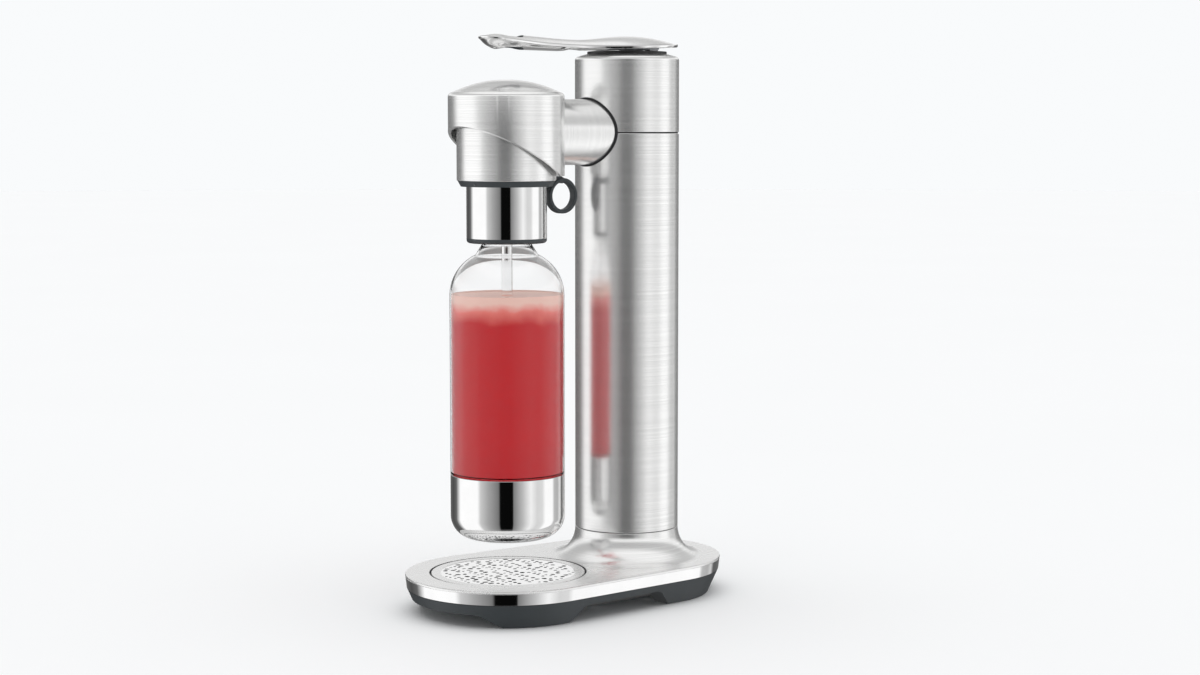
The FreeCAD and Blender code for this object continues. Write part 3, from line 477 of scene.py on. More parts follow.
def clear_finish(name):
    """Clear moulded bottle plastic with faint flow marks."""
    f = Finish(name)
    flow = f.noise(f.mapped((14, 14, 40)), detail=2.0)
    f.output(f.ramp(flow, [(0.3, (0.985, 0.99, 0.99)), (0.7, (1.0, 1.0, 1.0))]), "Base Color")
    f.output(f.range(flow, 0.0, 0.03), "Roughness")
    f.output(f.bump(flow, 0.05, 0.0002), "Normal")
    f.set(Transmission_Weight=1.0, IOR=1.30)
    return f.material


def drink_finish(name):
    """Red drink, foam at its surface and fine bubbles below. The drink also glows faintly in its own colour:
    a painted glow standing in for light shining through it.
    """
    f = Finish(name)
    c = colours()
    place = f.add("ShaderNodeSeparateXYZ")
    f.link(f.coords.outputs["Object"], place.inputs["Vector"])
    level = f.add("ShaderNodeMapRange")
    level.inputs["From Min"].default_value = 0.060
    level.inputs["From Max"].default_value = 0.240
    f.link(place.outputs["Z"], level.inputs["Value"])
    swirl = f.noise(f.mapped((60, 60, 60)), detail=4.0)
    offset = f.add("ShaderNodeMath", operation="MULTIPLY_ADD")
    f.link(swirl, offset.inputs[0])
    offset.inputs[1].default_value = 0.06
    f.link(level.outputs["Result"], offset.inputs[2])
    deep = tuple(x * 0.82 for x in c.drink)
    froth, foam = (0.82, 0.20, 0.17), tuple(c.foam)
    stops = [(0.0, deep), (0.45, tuple(c.drink)), (0.90, tuple(c.drink)), (0.955, froth), (0.99, foam)]
    body = f.ramp(offset.outputs[0], stops)
    cells = f.add("ShaderNodeTexVoronoi")
    f.link(f.mapped((700, 700, 700)), cells.inputs["Vector"])
    specks = f.ramp(cells.outputs["Distance"], [(0.0, 0.35), (0.28, 0.0)])
    mix = f.add("ShaderNodeMix", data_type="RGBA", blend_type="SCREEN")
    mix.inputs["Factor"].default_value = 0.4
    f.link(body, mix.inputs[6])
    f.link(specks, mix.inputs[7])
    f.output(mix.outputs[2], "Base Color")
    # The drink's colour also drives its emission: a painted glow standing in for light shining through the
    # drink.
    f.output(mix.outputs[2], "Emission Color")
    f.output(f.range(swirl, 0.35, 0.5), "Roughness")
    f.output(f.bump(cells.outputs["Distance"], 0.06, 0.0001), "Normal")
    # The emission strength sets how bright the painted glow is.
    f.set(Emission_Strength=0.24, Specular_IOR_Level=0.08)
    f.set(Coat_Weight=0.3, Coat_Roughness=0.03, Coat_IOR=1.35)
    return f.material


FINISHES = {}


def make_finishes():
    c = colours()
    FINISHES.update(
        brushed=brushed_finish("brushed_round", (6, 6, 1500), "Z"),
        brushed_arm=brushed_finish("brushed_arm", (6, 1500, 6), "Y"),
        brushed_flat=brushed_finish("brushed_flat", (1400, 8, 8), None, (0.25, 0.30), 0.03, 0.08),
        brushed_lever=brushed_finish("brushed_lever", (8, 1400, 8), None, (0.22, 0.27), 0.03, 0.08),
        polished=mirror_finish("polished_steel"),
        dark_plastic=moulded_finish("slate_moulding", c.moulding),
        black_plastic=moulded_finish("black_moulding", (0.012, 0.012, 0.013), 0.35),
        inner_plastic=moulded_finish("inner_moulding", (0.10, 0.105, 0.11), 0.5, 1200.0),
        rubber=rubber_finish("soft_rubber"),
        zinc_steel=cast_finish("plated_steel", (0.55, 0.56, 0.57)),
        cast_metal=cast_finish("cast_alloy"),
        canister_metal=satin_finish("spun_aluminium"),
        label=sleeve_finish("plain_sleeve"),
        brass=brass_finish("turned_brass"),
        clear_bottle=clear_finish("clear_bottle"),
        marker=moulded_finish("marker_moulding", (0.16, 0.17, 0.175)),
        drink=drink_finish("red_drink"),
        grille=mirror_finish("polished_grille", 0.10),
    )


NODE_FINISH = {"arm_tube": "brushed_arm", "base_cover": "brushed_flat", "lever_shell": "brushed_lever"}


def dress_nodes():
    """Gives every carried-over node the finish of its slot."""
    for name, node in NODES.items():
        material = FINISHES[NODE_FINISH.get(name, SLOT_OF[name])]
        node.data.materials.clear()
        node.data.materials.append(material)


# ---- stage --------------------------------------------------------------------------------------
def make_camera():
    studio = bpy.context.scene.carbonator_studio
    a = studio.azimuth
    right = Vector((math.cos(a), math.sin(a), 0))
    ahead = Vector((-math.sin(a), math.cos(a), 0))
    place = Vector((0, COLUMN_Y * MM, 0)) - right * studio.aside - ahead * studio.distance
    place.z = studio.eye_height
    data = bpy.data.cameras.new("camera")
    data.lens = studio.lens
    data.sensor_width = 36.0
    camera = bpy.data.objects.new("camera", data)
    bpy.context.collection.objects.link(camera)
    turn = Matrix.Rotation(a, 4, "Z") @ Matrix.Rotation(math.pi / 2 - studio.pitch, 4, "X")
    camera.matrix_world = Matrix.Translation(place) @ turn
    bpy.context.scene.camera = camera


# Brightness of the studio round the object, by the angle from the camera.
WRAP = [
    (-180, 0.32), (-165, 0.15), (-140, 0.08), (-124, 0.14), (-117, 0.50), (-108, 1.12), (-61, 1.12),
    (-54, 0.66),
    (-38, 0.42), (-16, 0.20), (-12.8, 0.003), (12.6, 0.003), (14, 0.22), (33, 0.56), (50, 1.0), (64, 0.74),
    (76, 0.78), (84, 1.10), (104, 1.10), (110, 0.55), (122, 0.48), (131, 0.70), (139, 0.12), (160, 0.15),
    (180, 0.32),
]
# Brightness over and under the horizon, by the sine of the elevation: its value and how much it counts.
HEIGHTS = [
    (-1.0, 0.30, 0.9), (-0.80, 0.30, 0.6), (-0.60, 0.5, 0.0), (0.08, 1.0, 0.0), (0.15, 1.04, 0.90),
    (0.27, 1.02, 0.96), (0.36, 0.45, 0.96), (0.62, 0.50, 0.96), (0.78, 0.95, 1.0), (1.0, 0.95, 1.0),
]


def fill_ramp(ramp, stops):
    """Sets a ramp's stops: a place from 0 to 1, and a grey."""
    elements = ramp.color_ramp.elements
    while len(elements) < len(stops):
        elements.new(0.5)
    for element, (place_, value) in zip(elements, stops):
        element.position = place_
        element.color = (value, value, value, 1)


def make_world():
    """Soft studio light all round, brighter at both sides, with a narrow dark gap at the camera."""
    studio = bpy.context.scene.carbonator_studio
    world = bpy.data.worlds.new("studio")
    bpy.context.scene.world = world
    world.use_nodes = True
    tree = world.node_tree

    def add(kind):
        return tree.nodes.new(kind)

    def mix(factor, first, second):
        node = add("ShaderNodeMix")
        node.data_type = "RGBA"
        for name, value in (("Factor", factor), (6, first), (7, second)):
            socket = node.inputs[name]
            if isinstance(value, tuple):
                socket.default_value = value
            else:
                tree.links.new(value, socket)
        return node.outputs[2]

    coords = add("ShaderNodeTexCoord")
    mapping = add("ShaderNodeMapping")
    mapping.inputs["Rotation"].default_value = (0, 0, math.pi / 2 - studio.azimuth)
    gradient = add("ShaderNodeTexGradient")
    gradient.gradient_type = "RADIAL"
    around = add("ShaderNodeValToRGB")
    fill_ramp(around, [(0.5 + angle / 360.0, value) for angle, value in WRAP])
    tree.links.new(coords.outputs["Generated"], mapping.inputs["Vector"])
    tree.links.new(mapping.outputs["Vector"], gradient.inputs["Vector"])
    tree.links.new(gradient.outputs["Fac"], around.inputs["Fac"])
    split = add("ShaderNodeSeparateXYZ")
    tree.links.new(coords.outputs["Generated"], split.inputs["Vector"])
    height = add("ShaderNodeMapRange")
    height.inputs["From Min"].default_value = -1.0
    tree.links.new(split.outputs["Z"], height.inputs["Value"])
    level, counts = add("ShaderNodeValToRGB"), add("ShaderNodeValToRGB")
    fill_ramp(level, [(0.5 + sine / 2, value) for sine, value, _ in HEIGHTS])
    fill_ramp(counts, [(0.5 + sine / 2, weight) for sine, _, weight in HEIGHTS])
    for ramp in (level, counts):
        tree.links.new(height.outputs["Result"], ramp.inputs["Fac"])
    light = mix(counts.outputs["Color"], around.outputs["Color"], level.outputs["Color"])
    path = add("ShaderNodeLightPath")
    seen = mix(path.outputs["Is Camera Ray"], light, (0.947, 0.962, 0.973, 1))
    tree.links.new(seen, tree.nodes["Background"].inputs["Color"])


def make_floor():
    bm = bmesh.new()
    bmesh.ops.create_circle(bm, cap_ends=True, radius=12.0, segments=96)
    mesh = bpy.data.meshes.new("floor")
    bm.to_mesh(mesh)
    bm.free()
    floor = bpy.data.objects.new("floor", mesh)
    bpy.context.collection.objects.link(floor)
    f = Finish("pale_floor")
    broad = f.noise(f.mapped((2, 2, 2)), detail=2.0)
    f.output(f.ramp(broad, [(0.3, (0.925, 0.935, 0.943)), (0.7, (0.931, 0.941, 0.949))]), "Base Color")
    f.set(Roughness=0.9, Specular_IOR_Level=0.0)
    mesh.materials.append(f.material)
    floor.visible_glossy = False


def make_light(name, strength):
    """Wide soft light from straight above."""
    data = bpy.data.lights.new(name, "SUN")
    data.energy = strength
    data.angle = math.radians(75)
    light = bpy.data.objects.new(name, data)
    bpy.context.collection.objects.link(light)
    light.visible_glossy = False


# ---- head and cap ------------------------------------------------------------------------------
HEAD_DOME = 9.2            # height of the cover's dome over its upper edge
HEAD_CORNER = 3.5
HEAD_SLOPE = 0.5465        # how fast the cover's lower edge climbs towards the front


def head_section(r, edge, apex, corner, low):
    """Half of a domed cylinder's section."""
    return [(r, low)] + arc((r - corner, edge - corner), corner, 0, 80, 8) + crown(r - corner, edge, apex)


def make_head_cover():
    low = HEAD.z0 - 15
    edge, wall = HEAD.z1 - HEAD_DOME, sizes().head_wall / MM
    outer = head_section(HEAD.r, edge, HEAD.z1, HEAD_CORNER, low)
    inner = head_section(HEAD.r - wall, edge - wall, HEAD.z1 - wall, HEAD_CORNER - 1, low)
    bm = lathe(outer + inner[::-1], y=HEAD_Y)
    middle = HEAD.z0 + 12.9
    cut(bm, (0, HEAD_Y, middle), Vector((0, -HEAD_SLOPE, -1)).normalized())
    cut(bm, (0, HEAD_Y, HEAD.z0), (0, 0, -1))
    soften(place(bm, "head_cover_pressing", "head_cover", "brushed"), sizes().edge / MM)


def make_cap():
    wall = Extent("cap_shell")
    section = [(wall.r, wall.z0), (wall.r, wall.z1), (wall.r - 1.4, wall.z1), (wall.r - 1.4, wall.z0)]
    place(lathe(section, {0: (0.5, 3), 1: (0.9, 4)}, HEAD_Y), "cap_wall", "cap_shell", "brushed")
    grip = Extent("cap_collar")
    section = [(grip.r, grip.z0), (grip.r, grip.z1), (grip.r - 1.2, grip.z1), (grip.r - 1.2, grip.z0)]
    place(lathe(section, {0: (0.3, 2)}, HEAD_Y), "grip_collar", "cap_collar", "polished")
    foot = Extent("collar_ring")
    bore = foot.r - 5.5
    section = [(bore, foot.z0), (foot.r, foot.z0), (foot.r, foot.z1), (bore, foot.z1)]
    place(lathe(section, {1: (2.4, 8)}, HEAD_Y), "collar_foot", "collar_ring", "dark_plastic")


def make_marker():
    """The small raised pointer on the cap's ring."""
    ring = Extent("cap_ring")
    bm = bmesh.new()
    bmesh.ops.create_cone(bm, cap_ends=True, segments=3, radius1=1.9, radius2=1.5, depth=0.7)
    out = math.radians(-78)
    lean = Matrix.Rotation(math.radians(-58), 4, "Y")
    around = Matrix.Rotation(out, 4, "Z") @ Matrix.Translation((ring.r - 1.75, 0, ring.z0 + 2.1))
    upright = Matrix.Rotation(math.pi, 4, "Z")
    flat = Matrix.Rotation(math.pi / 2, 4, "Y") @ lean @ upright
    matrix = Matrix.Translation((0, HEAD_Y, 0)) @ around @ flat
    bmesh.ops.transform(bm, matrix=matrix, verts=bm.verts)
    place(bm, "cap_marker", "cap_ring", "marker", replaced=False)


def make_pull_ring():
    ring = Extent("pull_ring")
    r = (ring.z1 - ring.z0) / 2
    y, z, bore, half = ring.y, ring.z0 + r, r - 3.0, ring.r
    section = [(bore, -half), (r, -half), (r, half), (bore, half)]
    bm = lathe(section, {0: (0.8, 3), 1: (1.2, 4), 2: (1.2, 4), 3: (0.8, 3)}, steps=96)
    matrix = Matrix.Translation((0, y, z)) @ Matrix.Rotation(math.pi / 2, 4, "Y")
    bmesh.ops.transform(bm, matrix=matrix, verts=bm.verts)
    piece = place(bm, "pull_ring_hoop", "pull_ring", "dark_plastic")
    slot = bmesh.new()
    bmesh.ops.create_cube(slot, size=1.0)
    bmesh.ops.scale(slot, vec=(3.0, 17.5, 16.0), verts=slot.verts)
    bmesh.ops.translate(slot, vec=(0, y - 3.75, z + 12.0), verts=slot.verts)
    carve(piece, slot)


# ---- bottle and drink ---------------------------------------------------------------------------
SHOULDER = (236.0, 33.8, 65.0)   # foot, radius and turn of the bottle's shoulder
CUP_WALL = 0.9
CUP_CORNER = 17.0
DRINK_TOP = 237.0


def bottle_line(inset, mouth):
    """The bottle's outer or inner line, from its floor up to its mouth."""
    bottle, cup = Extent("bottle_body"), Extent("bottle_cup")
    r, foot, step = bottle.r - inset, bottle.z0 + inset, cup.z1 + 0.1 + inset
    stand, bend = cup.r - CUP_WALL - 0.05 - inset, CUP_CORNER - CUP_WALL
    centre = (bottle.r - SHOULDER[1], SHOULDER[0])
    neck = 18.2 - inset
    line = [(0, foot)] + arc((stand - bend, foot + bend), bend, -90, 0) + [(stand, step), (r, step + 0.8)]
    line += arc(centre, SHOULDER[1] - inset, 0, SHOULDER[2])
    return line + [(neck, 274.8 - inset / 2), (neck, mouth)]


def make_bottle():
    top = Extent("bottle_body").z1
    outer, inner = bottle_line(0, top), bottle_line(sizes().bottle_wall / MM, top)
    thread = []
    for i in range(3):
        z = 282.0 + 6.0 * i
        thread += [(18.2, z), (19.2, z + 0.9), (19.2, z + 1.4), (18.2, z + 2.3)]
    section = outer[:-1] + thread + outer[-1:] + inner[::-1]
    place(lathe(section, y=HEAD_Y), "bottle_blown", "bottle_body", "clear_bottle")
    cup = Extent("bottle_cup")
    bend = (cup.r - CUP_CORNER, cup.z0 + CUP_CORNER)
    outer = [(0, cup.z0)] + arc(bend, CUP_CORNER, -90, 0) + [(cup.r, cup.z1)]
    inner = [(0, cup.z0 + CUP_WALL)] + arc(bend, CUP_CORNER - CUP_WALL, -90, 0)
    inner += [(cup.r - CUP_WALL, cup.z1)]
    lip = {len(outer) - 1: (0.35, 3), len(outer): (0.35, 3)}
    place(lathe(outer + inner[::-1], lip, HEAD_Y), "steel_cup", "bottle_cup", "polished")


def make_drink():
    """The drink fills the bottle to just above its shoulder's foot, and creeps up the wall a little."""
    gap = 0.12
    line = [p for p in bottle_line(sizes().bottle_wall / MM + gap, 300) if p[1] < DRINK_TOP - 1.2]
    edge = line[-1][0]
    line += [(edge, DRINK_TOP + 0.5), (edge - 1.2, DRINK_TOP - 0.3), (edge - 3.0, DRINK_TOP - 0.6)]
    line += [(0, DRINK_TOP - 0.6)]
    piece = place(lathe(line, y=HEAD_Y), "drink", "bottle_body", "drink", replaced=False)
    pipe = Extent("carbonation_tube")
    carve(piece, rod_cutter(pipe.r + 0.05, (0, HEAD_Y, pipe.z0 - 4.6), 20, "Z"))


# ---- column and arm ----------------------------------------------------------------------------
REAR_HALF = 52.0            # half angle of the rear cover


def arm_cutter():
    gasket = Extent("arm_gasket")
    middle = (gasket.z0 + gasket.z1) / 2
    return rod_cutter(gasket.r - 0.1, (0, COLUMN_Y - 62, middle), 42)


def wall_section(r, z0, z1):
    inside = r - sizes().sheet / MM
    return [(r, z0), (r, z1), (inside, z1), (inside, z0)]


def make_column():
    shell = Extent("column_shell")
    edges = {0: (0.3, 3), 1: (0.35, 3)}
    section = wall_section(COLUMN.r, shell.z0 + 0.5, shell.z1)
    front = lathe(section, edges, COLUMN_Y, 360 - 2 * REAR_HALF, REAR_HALF)
    carve(place(front, "column_wall", "column_shell", "brushed"), arm_cutter())
    cover = Extent("rear_cover")
    section = wall_section(COLUMN.r, cover.z0, cover.z1)
    half = REAR_HALF - 0.45
    place(lathe(section, edges, COLUMN_Y, 2 * half, -half, 72), "rear_wall", "rear_cover", "brushed")


def make_housing():
    r, z0, top = COLUMN.r, COLUMN.z0, COLUMN.z1
    shoulder, bore, wall = 3.0, 27.0, 1.5
    corner = (r - shoulder, top - 1.6 - shoulder)
    outer = [(r, z0)] + arc(corner, shoulder, 0, 80, 10) + [(31.0, top), (bore, top)]
    inner = [(bore, top - wall)] + arc(corner, shoulder - wall, 80, 0, 6) + [(r - wall, z0)]
    housing = lathe(outer + inner, {0: (0.35, 3)}, COLUMN_Y)
    carve(place(housing, "housing_wall", "top_housing", "brushed"), arm_cutter())


# ---- base ----------------------------------------------------------------------------------------
FLARE = (20.0, 22.5)        # reach and height of the sweep from the base into the column
PLATE_T = 1.5
FRONT_R = 77.0
REAR_R = 73.0


def footprint(inset, z, steps=96):
    """The base's outline: two rounds and the lines that touch both."""
    front, rear = FRONT_R - inset, REAR_R - inset
    lean = math.degrees(math.asin((front - rear) / (COLUMN_Y - HEAD_Y)))
    points = []
    for r, y, first, last in ((rear, COLUMN_Y, lean, 180 - lean), (front, HEAD_Y, 180 - lean, 360 + lean)):
        points += [(px, y + py, z) for px, py in arc((0, 0), r, first, last, steps)]
    return points


def make_base():
    cover = Extent("base_cover")
    top = Extent("drip_grille").z1
    rows = [(0.5, top - PLATE_T), (0, top - PLATE_T), (0, top - 0.9), (0.25, top - 0.3), (0.9, top)]
    plate = place(skin([footprint(i, z) for i, z in rows]), "base_sheet", "base_cover", "brushed_flat")
    seal = Extent("tray_seal")
    carve(plate, rod_cutter(seal.r + 0.05, (0, HEAD_Y, top - 9), 20, "Z"))
    carve(plate, rod_cutter(COLUMN.r + FLARE[0], (0, COLUMN_Y, top - 9), 20, "Z"))
    reach, rise = FLARE
    sweep = [math.radians(a) for a in range(0, 91, 5)]
    middle = (COLUMN.r + reach, top + rise)
    outer = [(middle[0] - reach * math.sin(a), middle[1] - rise * math.cos(a)) for a in sweep]
    inner = [(middle[0] - (reach + 1.5) * math.sin(a), middle[1] - (rise + 1.5) * math.cos(a)) for a in sweep]
    outer[-1] = (COLUMN.r, cover.z1)
    foot = lathe(outer + inner[::-1], {len(outer) - 1: (0.35, 3)}, COLUMN_Y)
    foot = place(foot, "column_foot", "base_cover", "brushed", replaced=False)
    carve(foot, rod_cutter(seal.r + 0.05, (0, HEAD_Y, top - 9), 40, "Z"))
    band = Extent("base_band")
    rows = [(3.3, band.z0), (1.5, band.z0), (1.0, band.z0 + 0.5)]
    rows += [(0.05, band.z1 - 0.3), (0.3, band.z1), (3.3, band.z1)]
    place(skin([footprint(i, z) for i, z in rows], closed=True), "edge_band", "base_band", "polished")


def pebble(x, y, size, turn, steps=10):
    """The outline of one drain hole, a little uneven."""
    points = []
    for i in range(steps):
        a = 2 * math.pi * i / steps
        r = size * (1 + 0.14 * math.sin(2 * a + turn) + 0.06 * math.sin(3 * a + 2 * turn))
        points.append((x + r * math.cos(a), y + r * math.sin(a)))
    return points


def drain_holes(reach):
    """Places and sizes of the drain holes: rows a little out of true, some holes large and some small."""
    pitch, rise = 5.9, 5.1
    rows = int(reach / rise) + 1
    holes = []
    for j in range(-rows, rows + 1):
        for i in range(-rows - 1, rows + 2):
            k = 17 * i + 31 * j
            x = (i + 0.5 * (j % 2)) * pitch + 0.95 * math.sin(2.1 * k + j)
            y = j * rise + 0.85 * math.sin(1.3 * k + 2 * i)
            size = 1.55 + 0.50 * math.sin(3.7 * k)
            clear = all(math.hypot(x - h[0], y - h[1]) > 1.2 * (size + h[2]) + 0.5 for h in holes)
            if clear and math.hypot(x, y) + 1.2 * size < reach:
                holes.append((x, y, size, 1.9 * k))
    return holes


def make_grille():
    """The plate: a plain brushed margin round the polished middle with its drain holes."""
    plate = Extent("drip_grille")
    margin = plate.r - 6.5
    section = [(0, plate.z0), (plate.r, plate.z0), (plate.r, plate.z1), (margin, plate.z1)]
    section += [(margin - 0.5, plate.z1 - 0.25), (0, plate.z1 - 0.25)]
    bm = lathe(section, {1: (0.3, 2), 2: (0.5, 4)}, HEAD_Y)
    for face in bm.faces:
        middle = face.calc_center_median()
        face.material_index = int(math.hypot(middle.x, middle.y - HEAD_Y) > margin - 0.3)
    piece = place(bm, "grille_plate", "drip_grille", "grille")
    piece.data.materials.append(FINISHES["brushed_flat"])
    holes = bmesh.new()
    for x, y, size, turn in drain_holes(margin - 1.0):
        outline = [(px, py, plate.z0 - 1) for px, py in pebble(x, HEAD_Y + y, size, turn)]
        low = bmesh.ops.contextual_create(holes, geom=loop(holes, outline))
        up = bmesh.ops.extrude_face_region(holes, geom=low["faces"])["geom"]
        moved = [item for item in up if isinstance(item, bmesh.types.BMVert)]
        bmesh.ops.translate(holes, vec=(0, 0, plate.z1 - plate.z0 + 2), verts=moved)
    bmesh.ops.recalc_face_normals(holes, faces=holes.faces)
    carve(piece, holes)


# ---- lever --------------------------------------------------------------------------------------
LEVER_R = 39.0
TIP = (-124.0, 13.0)        # the handle's round tip, from the column's axis: its centre and radius
NECK_START = -24.0          # where the disc starts to run into the handle
WAIST = (-84.0, 11.0)
HOLE = (7.0, -107.5, -116.5)   # the finger hole's radius, and its two rounds' places along the handle
APEX = 430.0


def ease(t, a, slope_a, b, slope_b, run):
    """A smooth curve between two values with given slopes."""
    h1, h2 = 2 * t**3 - 3 * t**2 + 1, t**3 - 2 * t**2 + t
    return h1 * a + h2 * slope_a * run + (1 - h1) * b + (t**3 - t**2) * slope_b * run


def half_width(y):
    """Half of the handle's width, in front of the disc."""
    x = math.sqrt(LEVER_R**2 - NECK_START**2)
    if y > WAIST[0]:
        t = (NECK_START - y) / (NECK_START - WAIST[0])
        return ease(t, x, NECK_START / x * 1.35, WAIST[1], 0.0, NECK_START - WAIST[0])
    t = (WAIST[0] - y) / (WAIST[0] - TIP[0])
    return ease(t, WAIST[1], 0.0, TIP[1], 0.0, WAIST[0] - TIP[0])


def spoon_outline():
    """The lever's outline seen from above, about the column's axis."""
    half = arc((0, 0), LEVER_R, 90, math.degrees(math.asin(NECK_START / LEVER_R)), 30)
    steps = 40
    for i in range(1, steps):
        y = NECK_START + (TIP[0] - NECK_START) * i / steps
        half.append((half_width(y), y))
    half += arc((0, TIP[0]), TIP[1], 0, -90, 14)
    return half + [(-x, y) for x, y in half[-2:0:-1]]


def inward(point, inset, share):
    """A point moved in from the outline by a distance, then by a share of the way to the lever's spine."""
    x, y = point
    spine = Vector((0, min(0.0, max(TIP[0], y))))
    to = spine - Vector((x, y))
    at = Vector((x, y)) + to * (inset / to.length)
    return at.lerp(spine, share), spine.y


def rim_low(y):
    """Height of the rim's lower edge: lowest over the front of the disc, rising to both ends."""
    return 419.4 + (0.00042 if y > -40 else 0.00062) * (y + 40) ** 2


def rim_height(y):
    return 2.7 + 0.008 * min(0.0, y + 40)


def spine_height(y):
    """Height of the upper surface along the middle: a dome, a dip and a rising handle."""
    if y > -52:
        return ease(-y / 52, APEX - 0.1, 0.0, APEX - 3.9, 0.0, 52)
    return ease(min(1.0, (-52 - y) / 66), APEX - 3.9, 0.0, APEX - 1.4, 0.0, 66)


def upper_row(outline, inset, share, drop=0.0):
    """One loop of the lever's upper surface, or of one below it."""
    row = []
    for point in outline:
        at, spine = inward(point, inset, share)
        edge = rim_low(point[1]) + rim_height(point[1]) - 0.5
        z = edge + (spine_height(spine) - edge) * (1 - (1 - share) ** 2.0)
        row.append((at.x, COLUMN_Y + at.y, z - drop))
    return row


def finger_hole():
    """An upright cutter of the finger hole: two rounds and the straight run between them."""
    bm = bmesh.new()
    r, rear, front = HOLE
    rim = arc((0, COLUMN_Y + rear), r, 0, 180, 20) + arc((0, COLUMN_Y + front), r, 180, 360, 20)
    low = bmesh.ops.contextual_create(bm, geom=loop(bm, [(x, y, 400) for x, y in rim]))
    up = bmesh.ops.extrude_face_region(bm, geom=low["faces"])["geom"]
    bmesh.ops.translate(bm, vec=(0, 0, 50), verts=[v for v in up if isinstance(v, bmesh.types.BMVert)])
    bmesh.ops.recalc_face_normals(bm, faces=bm.faces)
    return bm


def paint_hole_shade(piece):
    """Paints the walls of the finger hole with the dark moulding: painted shade inside the hole."""
    piece.data.materials.append(FINISHES["dark_plastic"])
    middle = (COLUMN_Y + (HOLE[1] + HOLE[2]) / 2) * MM
    near = HOLE[0] + 0.1
    reach = (HOLE[1] - HOLE[2]) / 2 + HOLE[0] + 0.2
    # Upright faces inside the finger hole take the dark moulding as painted shade.
    for face in piece.data.polygons:
        across, along = abs(face.center.x), abs(face.center.y - middle)
        if abs(face.normal.z) < 0.2 and across < near * MM and along < reach * MM:
            face.material_index = 1


def make_lever():
    outline = spoon_outline()
    shares = (0.0, 0.04, 0.12, 0.24, 0.38, 0.54, 0.70, 0.85, 0.95, 1.0)
    rows = [upper_row(outline, 1.1, share, 1.7) for share in shares[::-1]]
    rows += [upper_row(outline, 0.9, 0.0, 0.8), upper_row(outline, 1.1, 0.0, 0.15)]
    rows += [upper_row(outline, 1.6, share) for share in shares[1:]]
    spoon = place(merged(skin(rows, capped=False)), "lever_spoon", "lever_shell", "brushed_lever")
    carve(spoon, finger_hole())
    paint_hole_shade(spoon)
    corners = [(0.9, 0.0), (0.3, 0.12), (0.0, 0.4), (0.0, 0.7)]
    corners += [(0.25, 0.93), (0.7, 1.0), (1.0, 0.85), (1.0, 0.1)]
    rows = []
    for inset, share in corners:
        row = []
        for point in outline:
            at, _ = inward(point, inset, 0.0)
            row.append((at.x, COLUMN_Y + at.y, rim_low(point[1]) + rim_height(point[1]) * share))
        rows.append(row)
    place(skin(rows, closed=True), "lever_rim", "lever_shell", "polished", replaced=False)
    make_fairing()


def make_fairing():
    """The rounded lower half of the handle."""
    rear, front = -67.0, TIP[0]
    ring = arc((0, rear), 12.0, 0, 180, 28) + arc((0, front), TIP[1] - 0.6, 180, 360, 28)
    rows = []
    steps = [(1.0, False)] + [(share, True) for share in (0.0, 0.03, 0.10, 0.22, 0.38, 0.58, 0.80, 1.0)]
    for share, deep in steps:
        row = []
        for x, y in ring:
            width = half_width(max(y, front)) if y < rear else half_width(rear)
            x *= (width - 0.8) / 12.2
            spine = min(rear, max(front, y))
            t = (rear + 12 - y) / (rear - front + 24)
            depth = ease(min(1.0, t / 0.75), 2.2, 0.0, 6.2, 0.0, 1.0)
            at = Vector((x, y)).lerp(Vector((0, spine)), share)
            fall = (depth + 0.6) * (1 - (1 - share) ** 2.6) if deep else 0.0
            row.append((at.x, COLUMN_Y + at.y, rim_low(y) + 0.6 - fall))
        rows.append(row)
    piece = place(merged(skin(rows, capped=False)), "lever_underside", "lever_fairing", "polished")
    carve(piece, finger_hole())
    paint_hole_shade(piece)


# ---- operators ----------------------------------------------------------------------------------
class CARBONATOR_OT_stage(bpy.types.Operator):
    """Make the camera, the floor and the light"""

    bl_idname = "carbonator.stage"
    bl_label = "Stage"

    def execute(self, context):
        make_camera()
        make_world()
        make_floor()
        make_light("overhead", 0.81)
        context.scene.view_settings.view_transform = "Standard"
        return {"FINISHED"}


class CARBONATOR_OT_finishes(bpy.types.Operator):
    """Make every finish and give the carried-over nodes theirs"""

    bl_idname = "carbonator.finishes"
    bl_label = "Finishes"

    def execute(self, context):
        make_finishes()
        dress_nodes()
        return {"FINISHED"}


class CARBONATOR_OT_head(bpy.types.Operator):
    """Make the head cover, the cap and the pull ring"""

    bl_idname = "carbonator.head"
    bl_label = "Head and cap"

    def execute(self, context):
        make_head_cover()
        make_cap()
        make_marker()
        make_pull_ring()
        return {"FINISHED"}


class CARBONATOR_OT_bottle(bpy.types.Operator):
    """Make the bottle, its steel cup and the drink in it"""

    bl_idname = "carbonator.bottle"
    bl_label = "Bottle and drink"

    def execute(self, context):
        make_bottle()
        make_drink()
        return {"FINISHED"}


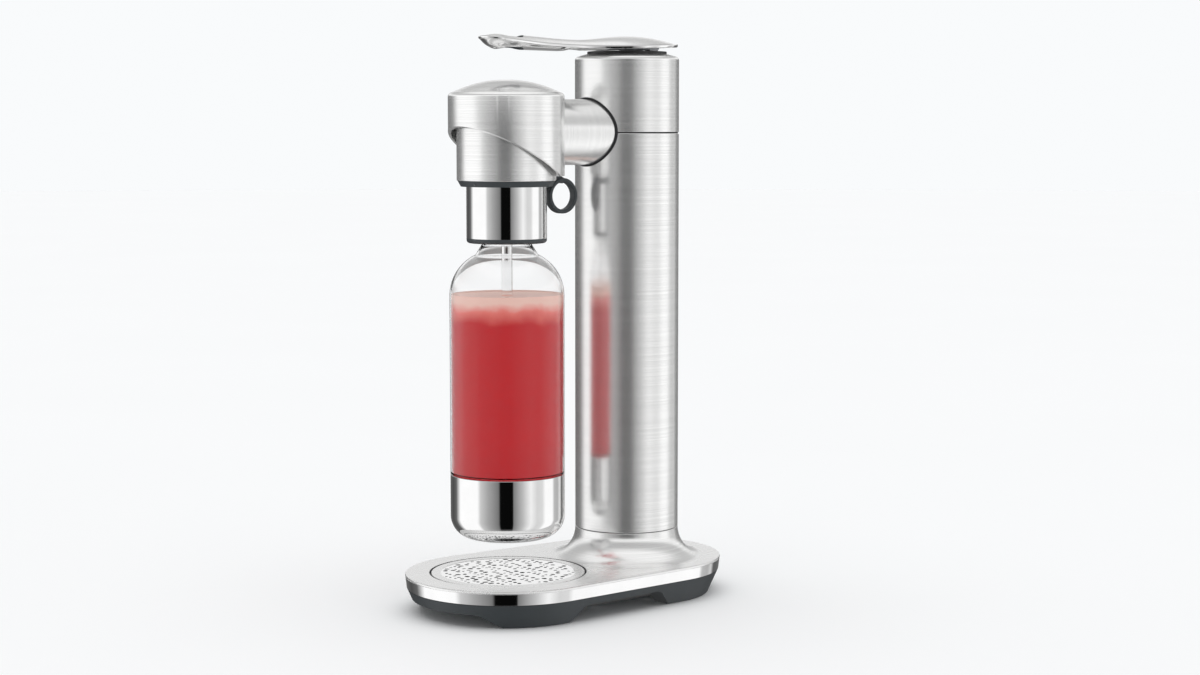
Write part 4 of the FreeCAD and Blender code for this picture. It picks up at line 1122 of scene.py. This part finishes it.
class CARBONATOR_OT_column(bpy.types.Operator):
    """Make the column, its rear cover and its top housing"""

    bl_idname = "carbonator.column"
    bl_label = "Column"

    def execute(self, context):
        make_column()
        make_housing()
        return {"FINISHED"}


class CARBONATOR_OT_base(bpy.types.Operator):
    """Make the base sheet, its band and the drip grille"""

    bl_idname = "carbonator.base"
    bl_label = "Base"

    def execute(self, context):
        make_base()
        make_grille()
        return {"FINISHED"}


class CARBONATOR_OT_lever(bpy.types.Operator):
    """Make the spoon-shaped lever"""

    bl_idname = "carbonator.lever"
    bl_label = "Lever"

    def execute(self, context):
        make_lever()
        return {"FINISHED"}


PIECES = (
    CARBONATOR_OT_stage,
    CARBONATOR_OT_finishes,
    CARBONATOR_OT_head,
    CARBONATOR_OT_bottle,
    CARBONATOR_OT_column,
    CARBONATOR_OT_base,
    CARBONATOR_OT_lever,
)


class CARBONATOR_PT_panel(bpy.types.Panel):
    """Sizes, colours and pieces of the carbonator"""

    bl_idname = "CARBONATOR_PT_panel"
    bl_label = "Soda carbonator"
    bl_space_type = "VIEW_3D"
    bl_region_type = "UI"
    bl_category = "Carbonator"

    def draw(self, context):
        column = self.layout.column()
        scene = context.scene
        for group in (scene.carbonator_sizes, scene.carbonator_colours, scene.carbonator_studio):
            for name in group.__annotations__:
                column.prop(group, name)
        for piece in PIECES:
            column.operator(piece.bl_idname)


GROUPS = {
    "carbonator_sizes": CarbonatorSizes,
    "carbonator_colours": CarbonatorColours,
    "carbonator_studio": CarbonatorStudio,
}


def register():
    for group in GROUPS.values():
        bpy.utils.register_class(group)
    for piece in PIECES + (CARBONATOR_PT_panel,):
        bpy.utils.register_class(piece)
    for name, group in GROUPS.items():
        setattr(bpy.types.Scene, name, PointerProperty(type=group))


def unregister():
    for name in GROUPS:
        delattr(bpy.types.Scene, name)
    for piece in (CARBONATOR_PT_panel,) + PIECES[::-1]:
        bpy.utils.unregister_class(piece)
    for group in GROUPS.values():
        bpy.utils.unregister_class(group)


def main():
    register()
    for piece in PIECES:
        area, name = piece.bl_idname.split(".")
        getattr(getattr(bpy.ops, area), name)()


if __name__ == "__main__":
    main()
